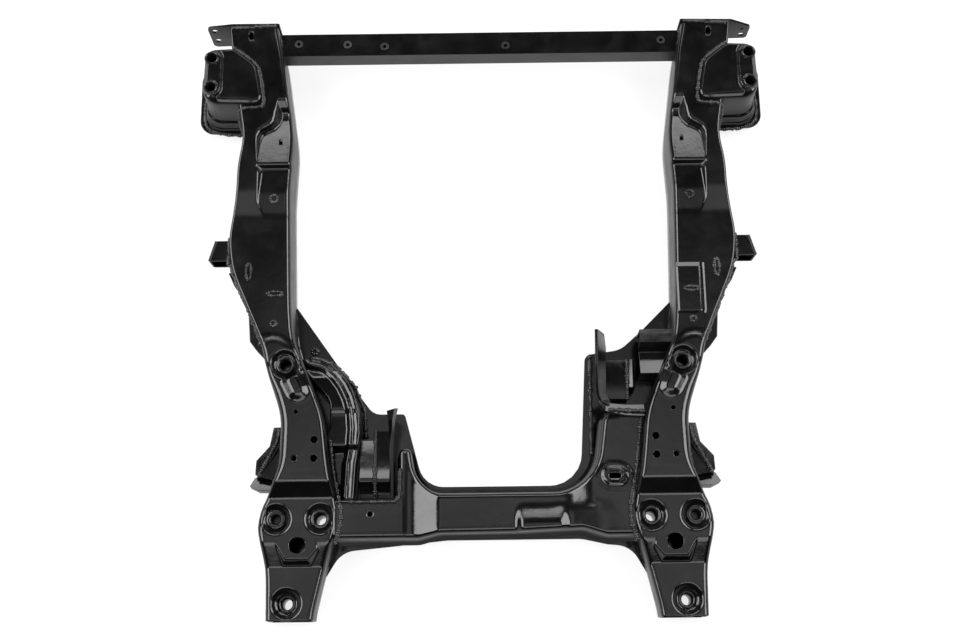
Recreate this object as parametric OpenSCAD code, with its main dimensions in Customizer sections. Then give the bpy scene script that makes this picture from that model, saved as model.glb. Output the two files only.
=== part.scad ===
// Front subframe of a car: two pressed box rails, a front tube and a rear crossmember,
// welded up with mount cups, sleeves and brackets. Millimetres, +Y to the front of the car, +Z up.

/* [Overall] */
// Length from the front faces of the end plates to the rear ends of the rails
overall_l = 974; // [940:1:1020]
// Width over the flanges of the two front cups
overall_w = 956; // [944:1:980]

/* [Sheet] */
// Thickness of the pressed rails, cups and crossmember
sheet_t = 3; // [2:0.1:3.6]
// Thickness of the end plates and the brackets
plate_t = 4; // [3:0.1:5]

/* [Rails] */
// Height of the rails over the ground at their middle
rail_h = 90; // [84:1:98]
// Rise of the front of the rails over their middle
front_rise = 10; // [6:1:14]
// Drop from the middle of the rails to the control-arm seats
arm_drop = 20; // [14:1:24]
// Drop from the middle of the rails to the rear body mounts
rear_drop = 44; // [38:1:46]
// Depth of the pressed recess on the inboard half of each rail
recess_d = 10; // [6:1:13]
// Width of the slope beside that recess
step_w = 12; // [8:1:14]
// Bend radius along the top edges of the rails
edge_r = 7; // [5:0.5:8]
// Height of the upper pressing's lower edge over the ground
lip_z = 6; // [4:0.5:7]
// Height of the lower pressing's side walls
lower_h = 32; // [26:1:34]

/* [Body mounts] */
// Half of the spacing between the rear body mounts
rear_x = 305; // [302:1:308]
// Distance of the rear body mounts from the rear ends of the rails
rear_inset = 25; // [24:1:30]
// Half of the spacing between the middle body mounts
mid_x = 311; // [310:1:313]
// Distance of the middle body mounts from the rear ends of the rails
mid_from_rear = 390; // [384:1:396]
// Bore of the rear and middle sleeves
sleeve_bore = 17; // [14:0.5:19]
// Outer diameter of the sleeves and collars
collar_od = 28; // [25:0.5:30]
// How far the collars stand over the floors of their dishes
collar_proud = 4; // [2:0.5:5]

/* [Control-arm seats] */
// Distance of the control-arm bolts from the rear ends of the rails
arm_from_rear = 151; // [148:1:156]
// Half of the spacing between the inboard control-arm bolts
arm_in_x = 254; // [252:1:256]
// Half of the spacing between the outboard control-arm bolts
arm_out_x = 322; // [320:1:324]
// Bore of the inboard collars
arm_bore = 18; // [14:0.5:19]
// Tapping bore of the outboard collars
arm_tap = 14; // [12:0.5:16]
// Depth of the outboard collars' blind bores
arm_tap_l = 22; // [16:1:30]
// Diameter of the large drain hole behind the collars
drain_d = 25; // [20:1:28]

/* [Dishes] */
// Radius of the pressed dishes at the rail's top
dish_r = 23; // [21:0.5:24]
// Depth of the pressed dishes
dish_d = 7; // [5:0.5:9]

/* [Front cups] */
// Distance of the cup bolts from the outer edge of the cup's base
cup_edge = 35; // [32:1:38]
// Distance of the middle of the cup bolts from the end plates' front faces
cup_from_front = 94; // [90:1:98]
// Spacing of the two bolts of a cup
cup_pitch = 52; // [46:1:56]
// Bore of the cup collars
cup_bore = 17; // [13:0.5:18]
// Outer diameter of the cup collars
cup_collar_od = 24; // [21:0.5:26]
// Height of the cups over the rails' front part
cup_rise = 7; // [5:1:12]
// Height of the bolt strip over the cup's top
strip_rise = 5; // [3:0.5:8]
// Height of the cups' base plates over the ground
base_z = 12; // [8:1:18]

/* [End plates] */
// Height of the end plates' lower edges over the ground
end_z = 12; // [7:1:18]
// Distance of the ear holes from the outer edges of the cup bases, across the car
ear_edge = 32; // [30:1:36]
// Diameter of the ear holes
ear_hole_d = 11; // [9:0.5:13]
// Height of the lower ear hole over the ground
ear_hole_z = 48; // [46:1:52]
// Spacing of the two holes of the left ear
ear_pitch = 33; // [28:1:35]
// Diameter of the small location hole of the right ear
locator_d = 6; // [4:0.5:8]

/* [Front tube] */
// Depth of the tube from front to rear
tube_d = 40; // [34:1:44]
// Height of the tube
tube_h = 35; // [30:1:42]
// Wall of the tube
tube_t = 2.5; // [2:0.1:4]
// Height of the tube's top over the ground
tube_top = 80; // [74:1:86]
// Distance of the tube's middle from the end plates' front faces
tube_from_front = 31; // [28:1:36]
// Thread hole of the rivet nuts in the tube
rivet_bore = 6; // [4:0.5:7]
// Flange diameter of the rivet nuts
rivet_flange_d = 14; // [11:0.5:16]

/* [Crossmember] */
// Height of the lower pressing's underside over the ground
lower_z = 8; // [7:0.5:11]
// Height of the middle of the upper pressing over the ground
cross_h = 58; // [52:1:64]
// Height of its raised left block over the ground
block_h = 68; // [66:1:76]
// Height of its right arm over the ground
wing_h = 64; // [60:1:72]
// Length of the slotted hole in the right arm
slot_l = 19; // [16:0.5:22]
// Width of that slotted hole
slot_w = 9; // [7:0.5:10]
// Depth of the pressed seat round the slotted hole
slot_seat_d = 4; // [2:0.5:6]

/* [Brackets] */
// Height of the curved reinforcement at the left rail
reinf_h = 60; // [54:1:64]
// Height of the ribs on the reinforcement
rib_h = 4; // [2:0.5:6]
// Height of the torque plate's upright end over the ground
torque_h = 110; // [100:1:116]
// Height of the step bracket's upper tier over the ground
step_h = 80; // [72:1:82]
// Drop of its lower tier
step_drop = 20; // [14:1:24]
// Height of the pad on the right rail
pad_h = 4; // [2:0.5:6]
// Height of the side stubs
stub_h = 40; // [34:1:44]
// Height of the control-arm bracket webs over the ground
arm_web_z = 58; // [50:1:62]
// Height of the side gussets over the ground
gusset_z = 22; // [14:1:26]

/* [Hidden] */
$fn = 48;
paint = [0.10, 0.10, 0.11];
bare = [0.20, 0.20, 0.21];
// A cut runs past the faces that it opens by this much
past = 1;
front_y = overall_l / 2;
rear_y = -overall_l / 2;

// Stations of the pressings, set on a length of 974 and moved along with the real one
function from_front(d) = front_y - d * overall_l / 974;
function from_rear(d) = rear_y + d * overall_l / 974;
rear_mount_y = rear_y + rear_inset;
arm_y = rear_y + arm_from_rear;
mid_y = rear_y + mid_from_rear;
drain_y = arm_y - 40;
drain_x = (arm_in_x + arm_out_x) / 2;
seat_rear_y = arm_y - 35;
seat_front_y = arm_y + 32;
band_y = seat_front_y + 23;
drop_y = from_rear(58);
crest_y = from_front(251);
valley_y = crest_y - 10;
rail_front_y = front_y - plate_t;
cup_x = overall_w / 2 - cup_edge;
ear_x = overall_w / 2 - ear_edge;

// Outboard and inboard edges of the right rail, as [y, x]
outer_edge = [
    [front_y, 419], [from_front(53), 412], [from_front(145), 398], [from_front(203), 388],
    [from_front(251), 397], [from_front(297), 397], [from_front(377), 408], [from_front(428), 401],
    [from_rear(486), 375], [from_rear(430), 350], [mid_y, 343], [from_rear(309), 316],
    [from_rear(223), 318], [arm_y, 353], [from_rear(76), 338], [rear_y, 336]
];
inner_edge = [
    [front_y, 339], [from_front(53), 328], [from_front(145), 315], [from_front(203), 307],
    [from_front(297), 311], [from_front(428), 307], [from_rear(486), 305], [from_rear(430), 300],
    [mid_y, 282], [from_rear(309), 250], [from_rear(223), 240], [arm_y, 224],
    [from_rear(76), 248], [rear_y, 265]
];
// Height of the outboard half of the top, as [y, z]
top_line = [
    [front_y, rail_h + front_rise], [from_front(165), rail_h + front_rise],
    [from_front(297), rail_h + 6], [from_front(336), rail_h], [band_y, rail_h],
    [seat_front_y, rail_h - arm_drop], [seat_rear_y, rail_h - arm_drop],
    [drop_y, rail_h - rear_drop], [rear_y, rail_h - rear_drop]
];
// Share of the recess depth by which the inboard half lies lower, as [y, share]
recess_line = [
    [from_front(142), 0], [from_front(162), 0.5], [from_front(187), 1], [crest_y, 0.1],
    [valley_y, 1], [from_front(322), 0.9], [from_front(340), 0]
];
// Middle of the slope between the two halves, as [y, x]
step_line = [
    [from_front(142), 334], [from_front(167), 339], [from_front(181), 352], [from_front(197), 366],
    [crest_y, 366], [valley_y, 362], [from_front(311), 364], [from_front(340), 358], [mid_y, mid_x],
    [from_rear(309), 284], [rear_y, 300]
];

// Rings of the loft: each stretch between two folds is divided evenly
folds = [
    [rear_y, 2], [drop_y, 2], [seat_rear_y, 4], [seat_front_y, 2], [band_y, 4], [from_rear(309), 4],
    [mid_y + 25, 4], [from_rear(500), 3], [from_front(400), 3], [from_front(340), 2],
    [from_front(322), 3], [valley_y, 1], [crest_y, 2], [from_front(203), 1], [from_front(187), 2],
    [from_front(162), 1], [from_front(142), 2], [from_front(53), 2], [rail_front_y, 1]
];
ring_y = concat(
    [for (i = [0:len(folds) - 2]) let (n = folds[i][1], a = folds[i][0], b = folds[i + 1][0])
        for (k = [0:n - 1]) a + (b - a) * k / n],
    [rail_front_y]
);

// A line through hand-set points with its corners eased over w on either side
function eased(y, line, w) = (
    lookup(y - w, line) + 2 * lookup(y - w / 2, line) + 2 * lookup(y, line)
    + 2 * lookup(y + w / 2, line) + lookup(y + w, line)
) / 8;
// Ahead of the side stubs the rails, set on a width of 956, spread with the real one
spread_line = [[from_front(377), 0], [from_front(145), 1]];
function spread(y) = (overall_w - 956) / 2 * lookup(y, spread_line);
function outer_x(y) = eased(y, outer_edge, 22) + spread(y);
function inner_x(y) = eased(y, inner_edge, 22) + spread(y);
function rail_mid(y) = (outer_x(y) + inner_x(y)) / 2;
function top_z(y) = eased(y, top_line, 5);
function recess_z(y) = top_z(y) - recess_d * lookup(y, recess_line);
function step_x(y) = eased(y, step_line, 8) + spread(y);

// Height of the rail's flat tops at the mounts
arm_top = rail_h - arm_drop;
rear_top = rail_h - rear_drop;
front_top = rail_h + front_rise;

// Points of an outline [[x, y, r], ...] with arcs of radius r at its corners
function unit(v) = v / norm(v);
function xy(p) = [p[0], p[1]];
function corner(a, b, c, r, n) =
    let (u = unit(a - b), v = unit(c - b), half = acos(u * v) / 2)
    let (o = b + unit(u + v) * r / sin(half), s = b + u * r / tan(half), e = b + v * r / tan(half))
    [for (k = [0:n]) o + r * unit((s - o) * (1 - k / n) + (e - o) * k / n)];
function rounded(p, n = 6) = [
    for (i = [0:len(p) - 1])
        let (a = xy(p[(i + len(p) - 1) % len(p)]), b = xy(p[i]), c = xy(p[(i + 1) % len(p)]))
        each p[i][2] > 0 ? corner(a, b, c, p[i][2], n) : [b]
];
// The same outline, drawn anticlockwise, moved inwards by d
function left_of(a, b) = let (u = unit(b - a)) [-u[1], u[0]];
function inset(p, d) = [
    for (i = [0:len(p) - 1])
        let (a = p[(i + len(p) - 1) % len(p)], b = p[i], c = p[(i + 1) % len(p)])
        let (m = left_of(a, b), n = left_of(b, c))
        b + d * (m + n) / (1 + m * n)
];
// An open line of points moved to its left by d
function beside(p, d) = [
    for (i = [0:len(p) - 1])
        let (m = left_of(p[max(i - 1, 0)], p[max(i, 1)]))
        let (n = left_of(p[min(i, len(p) - 2)], p[min(i + 1, len(p) - 1)]))
        p[i] + d * (m + n) / (1 + m * n)
];
function flipped(p) = [for (i = [len(p) - 1:-1:0]) p[i]];

// Section of the upper pressing at y, moved inwards by d, from its outboard to its inboard lip
bend = [0, 45, 90];
function upper_section(y, d) =
    let (o = outer_x(y) - d, i = inner_x(y) + d, r = edge_r - d)
    let (zo = top_z(y) - d, zi = recess_z(y) - d, s = step_x(y))
    concat(
        [[o, y, lip_z]],
        [for (a = bend) [o - r + r * cos(a), y, zo - r + r * sin(a)]],
        [[min(max(s + step_w / 2, i + r + 2), o - r - 1), y, zo]],
        [[min(max(s - step_w / 2, i + r + 1), o - r - 2), y, zi]],
        [for (a = flipped(bend)) [i + r - r * cos(a), y, zi - r + r * sin(a)]],
        [[i, y, lip_z]]
    );
function upper_loop(y) = concat(upper_section(y, 0), flipped(upper_section(y, sheet_t)));

// A channel lofted through rings of points, each an outer line and then its inner line back
module channel(rings) {
    m = len(rings[0]);
    last = len(rings) - 1;
    sides = [for (r = [0:last - 1]) for (j = [0:m - 1])
        [r * m + j, r * m + (j + 1) % m, (r + 1) * m + (j + 1) % m, (r + 1) * m + j]];
    rim = [for (j = [0:m / 2 - 2]) [j, m - 1 - j, m - 2 - j, j + 1]];
    end = [for (f = rim) [for (k = flipped(f)) last * m + k]];
    polyhedron([for (r = rings) each r], concat(sides, rim, end));
}

// Outline of the right rail in plan, moved inwards by d from its two edges
function end_over(y, over) = y == rear_y ? y - over : y == rail_front_y ? y + over : y;
module rail_plan(d, over = 0) {
    right = [for (y = ring_y) [outer_x(y) - d, end_over(y, over)]];
    left = [for (y = flipped(ring_y)) [inner_x(y) + d, end_over(y, over)]];
    polygon(concat(right, left));
}
// Mirrors what is drawn for the right side to the left
module on_left() {
    mirror([1, 0, 0]) children();
}

// A pressed dish with a collar hole in its floor: what it adds under the top and what it cuts
floor_r = collar_od / 2 + 1.5;
lean = (dish_r - floor_r) / dish_d;
module dish_wall(x, y, top) {
    translate([x, y, top - dish_d - sheet_t])
        cylinder(h = dish_d + sheet_t / 2, r1 = floor_r + sheet_t - lean * sheet_t,
            r2 = dish_r + sheet_t - lean * sheet_t / 2);
}
module dish_hollow(x, y, top) {
    translate([x, y, top - dish_d]) cylinder(h = dish_d + past, r1 = floor_r, r2 = dish_r + lean * past);
    translate([x, y, top - dish_d - sheet_t - past]) cylinder(h = dish_d + sheet_t, d = collar_od);
}
dish_places = [
    [mid_x, mid_y, rail_h], [arm_in_x, arm_y, arm_top], [arm_out_x, arm_y, arm_top],
    [rear_x, rear_mount_y, rear_top]
];
function dish_floor(top) = top - dish_d;

// Raised flat-topped tongue that runs back and inboard from the middle mount
tongue_l = 46;
tongue_foot = 17;
tongue_top = 9;
tongue_h = 7;
tongue_turn = 27;
module tongue(d) {
    start = dish_r + 2 + d;
    section = [
        [-tongue_foot, -past], [tongue_foot, -past], [tongue_foot, 0], [tongue_top, tongue_h],
        [-tongue_top, tongue_h], [-tongue_foot, 0]
    ];
    translate([mid_x, mid_y, rail_h - d]) rotate([0, 0, -tongue_turn]) {
        translate([0, -start, 0]) rotate([90, 0, 0]) linear_extrude(tongue_l - start) polygon(section);
        translate([0, -tongue_l, 0]) cylinder(h = tongue_h, r1 = tongue_foot, r2 = tongue_top);
        translate([0, -tongue_l, -past]) cylinder(h = past, r = tongue_foot);
    }
}
// Raised nose in which the plateau of the control-arm seats runs out to the rear
nose_lean = 8;
nose_h = 14;
function nose_plan(grow, ahead) = inset([
    [arm_in_x + 3, arm_y - 30 + ahead], [arm_in_x + 3, arm_y - 46], [drain_x - 17, arm_y - 62],
    [drain_x + 19, arm_y - 62], [arm_out_x + 2, arm_y - 35], [arm_out_x + 2, arm_y - 30 + ahead]
], -grow);
module nose(d) {
    under_top = arm_top - sheet_t / 5 - d;
    hull() {
        translate([0, 0, under_top - past]) linear_extrude(past) polygon(nose_plan(-d / 2, 5 * d));
        translate([0, 0, under_top - nose_h])
            linear_extrude(past) polygon(nose_plan(nose_lean - d / 2, 5 * d));
    }
}
// Plain round holes of the rail's top, as [x, y, diameter]
nut_hole = [294, band_y + 36, 11];
rail_holes = [
    [263, band_y + 64, 11], [263, band_y + 35, 11], nut_hole, [292, from_rear(314), 7],
    [drain_x, drain_y, drain_d], [328 + spread(from_front(211)), from_front(211), 7],
    [381 + spread(front_y), from_front(22), 9]
];
module rail_upper() {
    color(paint) difference() {
        union() {
            channel([for (y = ring_y) upper_loop(y)]);
            for (p = dish_places) dish_wall(p[0], p[1], p[2]);
            tongue(0);
            nose(0);
        }
        tongue(sheet_t);
        nose(sheet_t);
        for (p = dish_places) dish_hollow(p[0], p[1], p[2]);
        for (h = rail_holes)
            translate([h[0], h[1], lower_h + past]) cylinder(h = front_top, d = h[2]);
    }
}
// The lower pressing nests inside the upper one
module rail_lower() {
    through = [[mid_x, mid_y, collar_od], [rear_x, rear_mount_y, collar_od], [arm_in_x, arm_y, arm_bore]];
    color(paint) difference() {
        linear_extrude(lower_h) rail_plan(sheet_t);
        translate([0, 0, sheet_t]) linear_extrude(lower_h) rail_plan(2 * sheet_t, past);
        for (h = through) translate([h[0], h[1], -past]) cylinder(h = sheet_t + 2 * past, d = h[2]);
    }
}
module left_rail_upper() { on_left() rail_upper(); }
module right_rail_upper() { rail_upper(); }
module left_rail_lower() { on_left() rail_lower(); }
module right_rail_lower() { rail_lower(); }

// Sleeves and collars stand on the lower pressing and come up through the dishes
module tube_between(x, y, z0, z1, od, id) {
    color(bare) translate([x, y, z0]) difference() {
        cylinder(h = z1 - z0, d = od);
        translate([0, 0, -past]) cylinder(h = z1 - z0 + 2 * past, d = id);
    }
}
module mid_sleeve() {
    tube_between(mid_x, mid_y, 0, dish_floor(rail_h) + collar_proud, collar_od, sleeve_bore);
}
module rear_sleeve() {
    tube_between(rear_x, rear_mount_y, 0, dish_floor(rear_top) + collar_proud, collar_od, sleeve_bore);
}
module arm_collar() {
    tube_between(arm_in_x, arm_y, sheet_t, dish_floor(arm_top) + collar_proud, collar_od, arm_bore);
}
module arm_nut() {
    top = dish_floor(arm_top) + collar_proud;
    color(bare) difference() {
        translate([arm_out_x, arm_y, sheet_t]) cylinder(h = top - sheet_t, d = collar_od);
        translate([arm_out_x, arm_y, top - arm_tap_l]) cylinder(h = arm_tap_l + past, d = arm_tap);
    }
}
module left_mid_sleeve() { on_left() mid_sleeve(); }
module right_mid_sleeve() { mid_sleeve(); }
module left_rear_sleeve() { on_left() rear_sleeve(); }
module right_rear_sleeve() { rear_sleeve(); }
module left_arm_collar() { on_left() arm_collar(); }
module right_arm_collar() { arm_collar(); }
module left_arm_nut() { on_left() arm_nut(); }
module right_arm_nut() { arm_nut(); }

// Hexagonal weld nut under the third small hole of the rail
nut_across = 18;
nut_l = 9;
nut_tap = 8.5;
module weld_nut() {
    color(bare) translate([nut_hole[0], nut_hole[1], rail_h - sheet_t - nut_l]) difference() {
        cylinder(h = nut_l, d = nut_across, $fn = 6);
        translate([0, 0, -past]) cylinder(h = nut_l + 2 * past, d = nut_tap);
    }
}
module left_weld_nut() { on_left() weld_nut(); }
module right_weld_nut() { weld_nut(); }

// Rectangular tube between the inboard walls of the rails
tube_y = front_y - tube_from_front;
rivet_end = round(inner_x(tube_y)) - 29;
rivet_places = [[-rivet_end, 2], [-222, 0], [-160, -4], [43, -5], [rivet_end, 2]];
rivet_body_d = rivet_flange_d - 4;
module front_tube() {
    color(paint) difference() {
        translate([0, 0, tube_top - tube_h]) linear_extrude(tube_h) difference() {
            translate([-overall_w / 2, tube_y - tube_d / 2]) square([overall_w, tube_d]);
            for (s = [0, 1]) mirror([s, 0]) {
                rail_plan(0, past);
                translate([outer_x(tube_y) - edge_r, tube_y - tube_d]) square([overall_w, 2 * tube_d]);
            }
        }
        translate([-overall_w / 2, tube_y - tube_d / 2 + tube_t, tube_top - tube_h + tube_t])
            cube([overall_w, tube_d - 2 * tube_t, tube_h - 2 * tube_t]);
        for (p = rivet_places) translate([p[0], tube_y + p[1], tube_top - 2 * tube_t])
            cylinder(h = 3 * tube_t, d = rivet_body_d);
    }
}
rivet_flange_t = 1.5;
rivet_body_l = 12;
module tube_rivet_nuts() {
    color(bare) for (p = rivet_places) translate([p[0], tube_y + p[1], tube_top]) difference() {
        union() {
            cylinder(h = rivet_flange_t, d = rivet_flange_d);
            translate([0, 0, -rivet_body_l]) cylinder(h = rivet_body_l, d = rivet_body_d);
        }
        translate([0, 0, -rivet_body_l - past]) cylinder(h = 2 * rivet_body_l, d = rivet_bore);
    }
}

// Upright plates that close the front ends of the rails, each with an ear outboard
end_in = inner_x(front_y) - 3;
end_out = outer_x(front_y) + 3;
ear_out = ear_x + 11;
module end_plate(outline, holes) {
    color(paint) translate([0, front_y, 0]) rotate([90, 0, 0]) linear_extrude(plate_t) difference() {
        polygon(rounded(outline));
        for (h = holes) translate([h[0], h[1]]) circle(d = h[2]);
    }
}
module left_end_plate() {
    ear_top = ear_hole_z + ear_pitch + 11;
    outline = [
        [end_in, end_z, 4], [end_out, end_z, 4], [end_out + 4, ear_hole_z - 20, 6],
        [ear_out, ear_hole_z - 22, 8], [ear_out, ear_top, 8], [end_out - 8, front_top, 0],
        [end_in, front_top, 3]
    ];
    holes = [[ear_x, ear_hole_z, ear_hole_d], [ear_x, ear_hole_z + ear_pitch, ear_hole_d]];
    on_left() end_plate(outline, holes);
}
module right_end_plate() {
    locator_z = ear_hole_z + 21;
    outline = [
        [end_in, end_z, 4], [end_out, end_z, 4], [end_out, ear_hole_z - 14, 3],
        [ear_out, ear_hole_z - 12, 6], [ear_out, locator_z + 7, 6], [end_out, front_top - 3, 0],
        [end_in, front_top, 3]
    ];
    end_plate(outline, [[ear_x, ear_hole_z, ear_hole_d], [ear_x - 2, locator_z, locator_d]]);
}

// Mount cup: a pressed tower over the outboard edge of the rail, on its own base plate
cup_y = front_y - cup_from_front;
base_top = base_z + sheet_t;
cup_top = front_top + cup_rise;
cup_rear_y = cup_y - cup_pitch / 2 - 24;
cup_front_y = cup_y + cup_pitch / 2 + 16;
cup_outline = [
    [cup_x + 13, cup_rear_y, 26], [cup_x + 10, cup_front_y, 18], [cup_x - 36, cup_front_y + 2, 20],
    [cup_x - 72, cup_y + 15, 30], [cup_x - 84, cup_rear_y - 4, 12]
];
module cup_block(d) {
    linear_extrude(cup_top - d) polygon(inset(rounded(cup_outline), d));
    strip_r = cup_collar_od / 2 + 3 - d;
    linear_extrude(cup_top + strip_rise - d) {
        for (s = [-1, 1]) translate([cup_x - 2, cup_y + s * cup_pitch / 2]) circle(r = strip_r);
        translate([cup_x - 2 - strip_r, cup_y - cup_pitch / 2]) square([2 * strip_r, cup_pitch]);
    }
}
module rail_block(h) {
    linear_extrude(h) rail_plan(0, past);
}
module cup() {
    color(paint) difference() {
        cup_block(0);
        cup_block(sheet_t);
        translate([0, 0, -past]) linear_extrude(base_top + past)
            translate([0, cup_y - overall_w / 4]) square([overall_w, overall_w / 2]);
        rail_block(front_top);
        for (s = [-1, 1]) translate([cup_x, cup_y + s * cup_pitch / 2, base_top])
            cylinder(h = cup_top + strip_rise, d = cup_collar_od);
    }
}
module cup_base() {
    edge = overall_w / 2;
    outline = [
        [outer_x(cup_rear_y) - edge_r, cup_rear_y - 22, 0], [edge, cup_rear_y - 16, 24],
        [edge, cup_front_y + 4, 16], [outer_x(cup_front_y) - edge_r, cup_front_y + 4, 0]
    ];
    color(paint) translate([0, 0, base_z]) linear_extrude(sheet_t) difference() {
        polygon(rounded(outline));
        rail_plan(0);
        translate([cup_x - 10, cup_y]) circle(d = 20);
    }
}
collar_rise = 2;
module cup_collars() {
    for (s = [-1, 1])
        tube_between(cup_x, cup_y + s * cup_pitch / 2, base_top, cup_top + strip_rise + collar_rise,
            cup_collar_od, cup_bore);
}
module left_cup() { on_left() cup(); }
module right_cup() { cup(); }
module left_cup_base() { on_left() cup_base(); }
module right_cup_base() { cup_base(); }
module left_cup_collars() { on_left() cup_collars(); }
module right_cup_collars() { cup_collars(); }

// Short box stub on the outboard wall of the rail, with a slanted outer end
stub_y = from_front(394);
stub_w = 36;
stub_reach = 36;
stub_slant = 10;
module stub() {
    z0 = rail_h - 10 - stub_h;
    wall_x = outer_x(stub_y);
    end_x = wall_x + stub_reach;
    plan = [
        [wall_x - 2 * edge_r, stub_y - stub_w / 2], [end_x, stub_y - stub_w / 2],
        [end_x - stub_slant, stub_y + stub_w / 2], [wall_x - 2 * edge_r, stub_y + stub_w / 2]
    ];
    color(paint) difference() {
        translate([0, 0, z0]) linear_extrude(stub_h) difference() {
            polygon(plan);
            rail_plan(0);
        }
        hollow_l = 3 * edge_r + stub_reach - stub_slant - sheet_t;
        translate([wall_x - 3 * edge_r, stub_y - stub_w / 2 + sheet_t, z0 - past])
            cube([hollow_l, stub_w - 2 * sheet_t, stub_h - sheet_t + past]);
    }
}
module left_stub() { on_left() stub(); }
module right_stub() { stub(); }

// Control-arm bracket: a folded web on the outboard wall ahead of the arm seat
module arm_bracket() {
    y0 = band_y - 4;
    y1 = from_rear(290);
    reach = 30;
    lip_h = arm_web_z - base_top;
    web = [
        [outer_x(y0) - 2 * edge_r, y0, 0], [outer_x(y0) + reach + 12, y0, 6],
        [outer_x(y0) + reach, y0 + 22, 10], [outer_x(y1) + 10, y1 - 34, 14],
        [outer_x(y1) + 3, y1, 0], [outer_x(y1) - 2 * edge_r, y1, 0]
    ];
    color(paint) difference() {
        translate([0, 0, base_top]) linear_extrude(lip_h) polygon(rounded(web));
        translate([0, 0, base_top - past]) linear_extrude(lip_h - plate_t + past)
            intersection() {
                polygon(inset(rounded(web), plate_t));
                translate([0, y0 + plate_t]) square([overall_w, y1 - y0]);
            }
        rail_block(arm_web_z + past);
    }
}
module left_arm_bracket() { on_left() arm_bracket(); }
module right_arm_bracket() { arm_bracket(); }

// Narrow flange of the lower half that shows outboard between stub and middle mount
module gusset() {
    y0 = mid_y + 20;
    y1 = stub_y - stub_w / 2 - 4;
    outline = [
        [outer_x(y0) - 2 * edge_r, y0, 0], [outer_x(y0) + 2, y0, 0], [outer_x(y0 + 26) + 17, y0 + 26, 12],
        [outer_x(y0 + 60) + 10, y0 + 60, 30], [outer_x(y1 - 18) + 6, y1 - 18, 20], [outer_x(y1) + 6, y1, 4],
        [outer_x(y1) - 2 * edge_r, y1, 0]
    ];
    color(paint) translate([0, 0, gusset_z]) linear_extrude(sheet_t) difference() {
        polygon(rounded(outline));
        rail_plan(0);
    }
}
module left_gusset() { on_left() gusset(); }
module right_gusset() { gusset(); }

// Lower pressing of the crossmember: a flat sheet with two wings along the rails
cross_y = from_rear(206);
// Both pressings are drawn on to the middle of the rails, and the rails cut them
wing_rear = cross_y - 150;
wing_waist = from_rear(309);
wing_front = from_rear(470);
wing_tip = from_rear(510);
lower_top = lower_z + sheet_t;
lower_outline = [
    [-rail_mid(wing_front), wing_front, 0], [-rail_mid(wing_waist), wing_waist, 0],
    [-rail_mid(wing_rear), wing_rear, 0],
    [-inner_x(wing_rear) - 4, wing_rear, 0], [-226, cross_y - 100, 40], [-150, cross_y - 93, 60],
    [-60, cross_y - 84, 60], [150, cross_y - 84, 60], [190, cross_y - 93, 60], [226, cross_y - 96, 40],
    [inner_x(wing_rear) + 4, wing_rear, 0], [rail_mid(wing_rear), wing_rear, 0],
    [rail_mid(wing_waist), wing_waist, 0], [rail_mid(wing_front), wing_front, 0],
    [inner_x(wing_tip) + 4, wing_tip, 0], [258, from_rear(458), 30], [222, from_rear(426), 40],
    [164, from_rear(418), 12], [151, cross_y, 52],
    [-97, cross_y, 40], [-128, from_rear(324), 6], [-178, from_rear(324), 24], [-212, from_rear(370), 30],
    [-inner_x(wing_tip) - 4, wing_tip, 0]
];
front_lip = 12;
module rails_plan(d, over = 0) {
    rail_plan(d, over);
    mirror([1, 0]) rail_plan(d, over);
}
module crossmember_lower() {
    outline = rounded(lower_outline);
    color(paint) difference() {
        union() {
            translate([0, 0, lower_z]) linear_extrude(sheet_t) difference() {
                polygon(outline);
                rails_plan(0);
            }
            linear_extrude(lower_top) intersection() {
                difference() {
                    polygon(outline);
                    polygon(inset(outline, sheet_t));
                }
                translate([-150, cross_y - front_lip]) square([300, 80]);
            }
        }
        translate([22, cross_y - 50, 0]) cylinder(h = 3 * lower_top, d = 24, center = true);
    }
}

// Upper pressing of the crossmember: its plan and its height across the car
cross_rear = cross_y - 78;
block_face = cross_y - 24;
arm_front = from_rear(316);
upper_outline = [
    [-rail_mid(cross_rear), cross_rear - 8, 0], [-120, cross_rear - 8, 20], [-80, cross_rear, 30],
    [60, cross_rear + 2, 60], [150, cross_rear + 6, 30], [186, cross_rear - 6, 20],
    [rail_mid(cross_rear), cross_rear - 6, 0], [rail_mid(arm_front), arm_front, 0], [182, arm_front, 0],
    [164, cross_y - 11, 60], [-108, cross_y - 11, 30], [-113, cross_y + 34, 5], [-128, cross_y + 34, 5],
    [-128, block_face, 5], [-rail_mid(block_face), block_face, 0]
];
upper_profile = [
    [-overall_w / 2, block_h], [-124, block_h], [-110, block_h - 5], [-82, cross_h], [70, cross_h],
    [120, cross_h + 3], [165, wing_h], [overall_w / 2, wing_h]
];
slot_x = 201;
slot_y = from_rear(213);
module slot_shape(l, w) {
    for (s = [-1, 1]) translate([slot_x + s * (l - w) / 2, slot_y]) circle(d = w);
    translate([slot_x - (l - w) / 2, slot_y - w / 2]) square([l - w, w]);
}
module upper_block(d) {
    intersection() {
        translate([0, 0, lower_top - (d > 0 ? past : 0)]) linear_extrude(rail_h)
            polygon(inset(rounded(upper_outline), d));
        rotate([90, 0, 0]) linear_extrude(overall_l / 2) polygon(concat(
            [[-overall_w / 2, 0]], [for (p = upper_profile) [p[0], p[1] - d]], [[overall_w / 2, 0]]
        ));
    }
}
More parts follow.
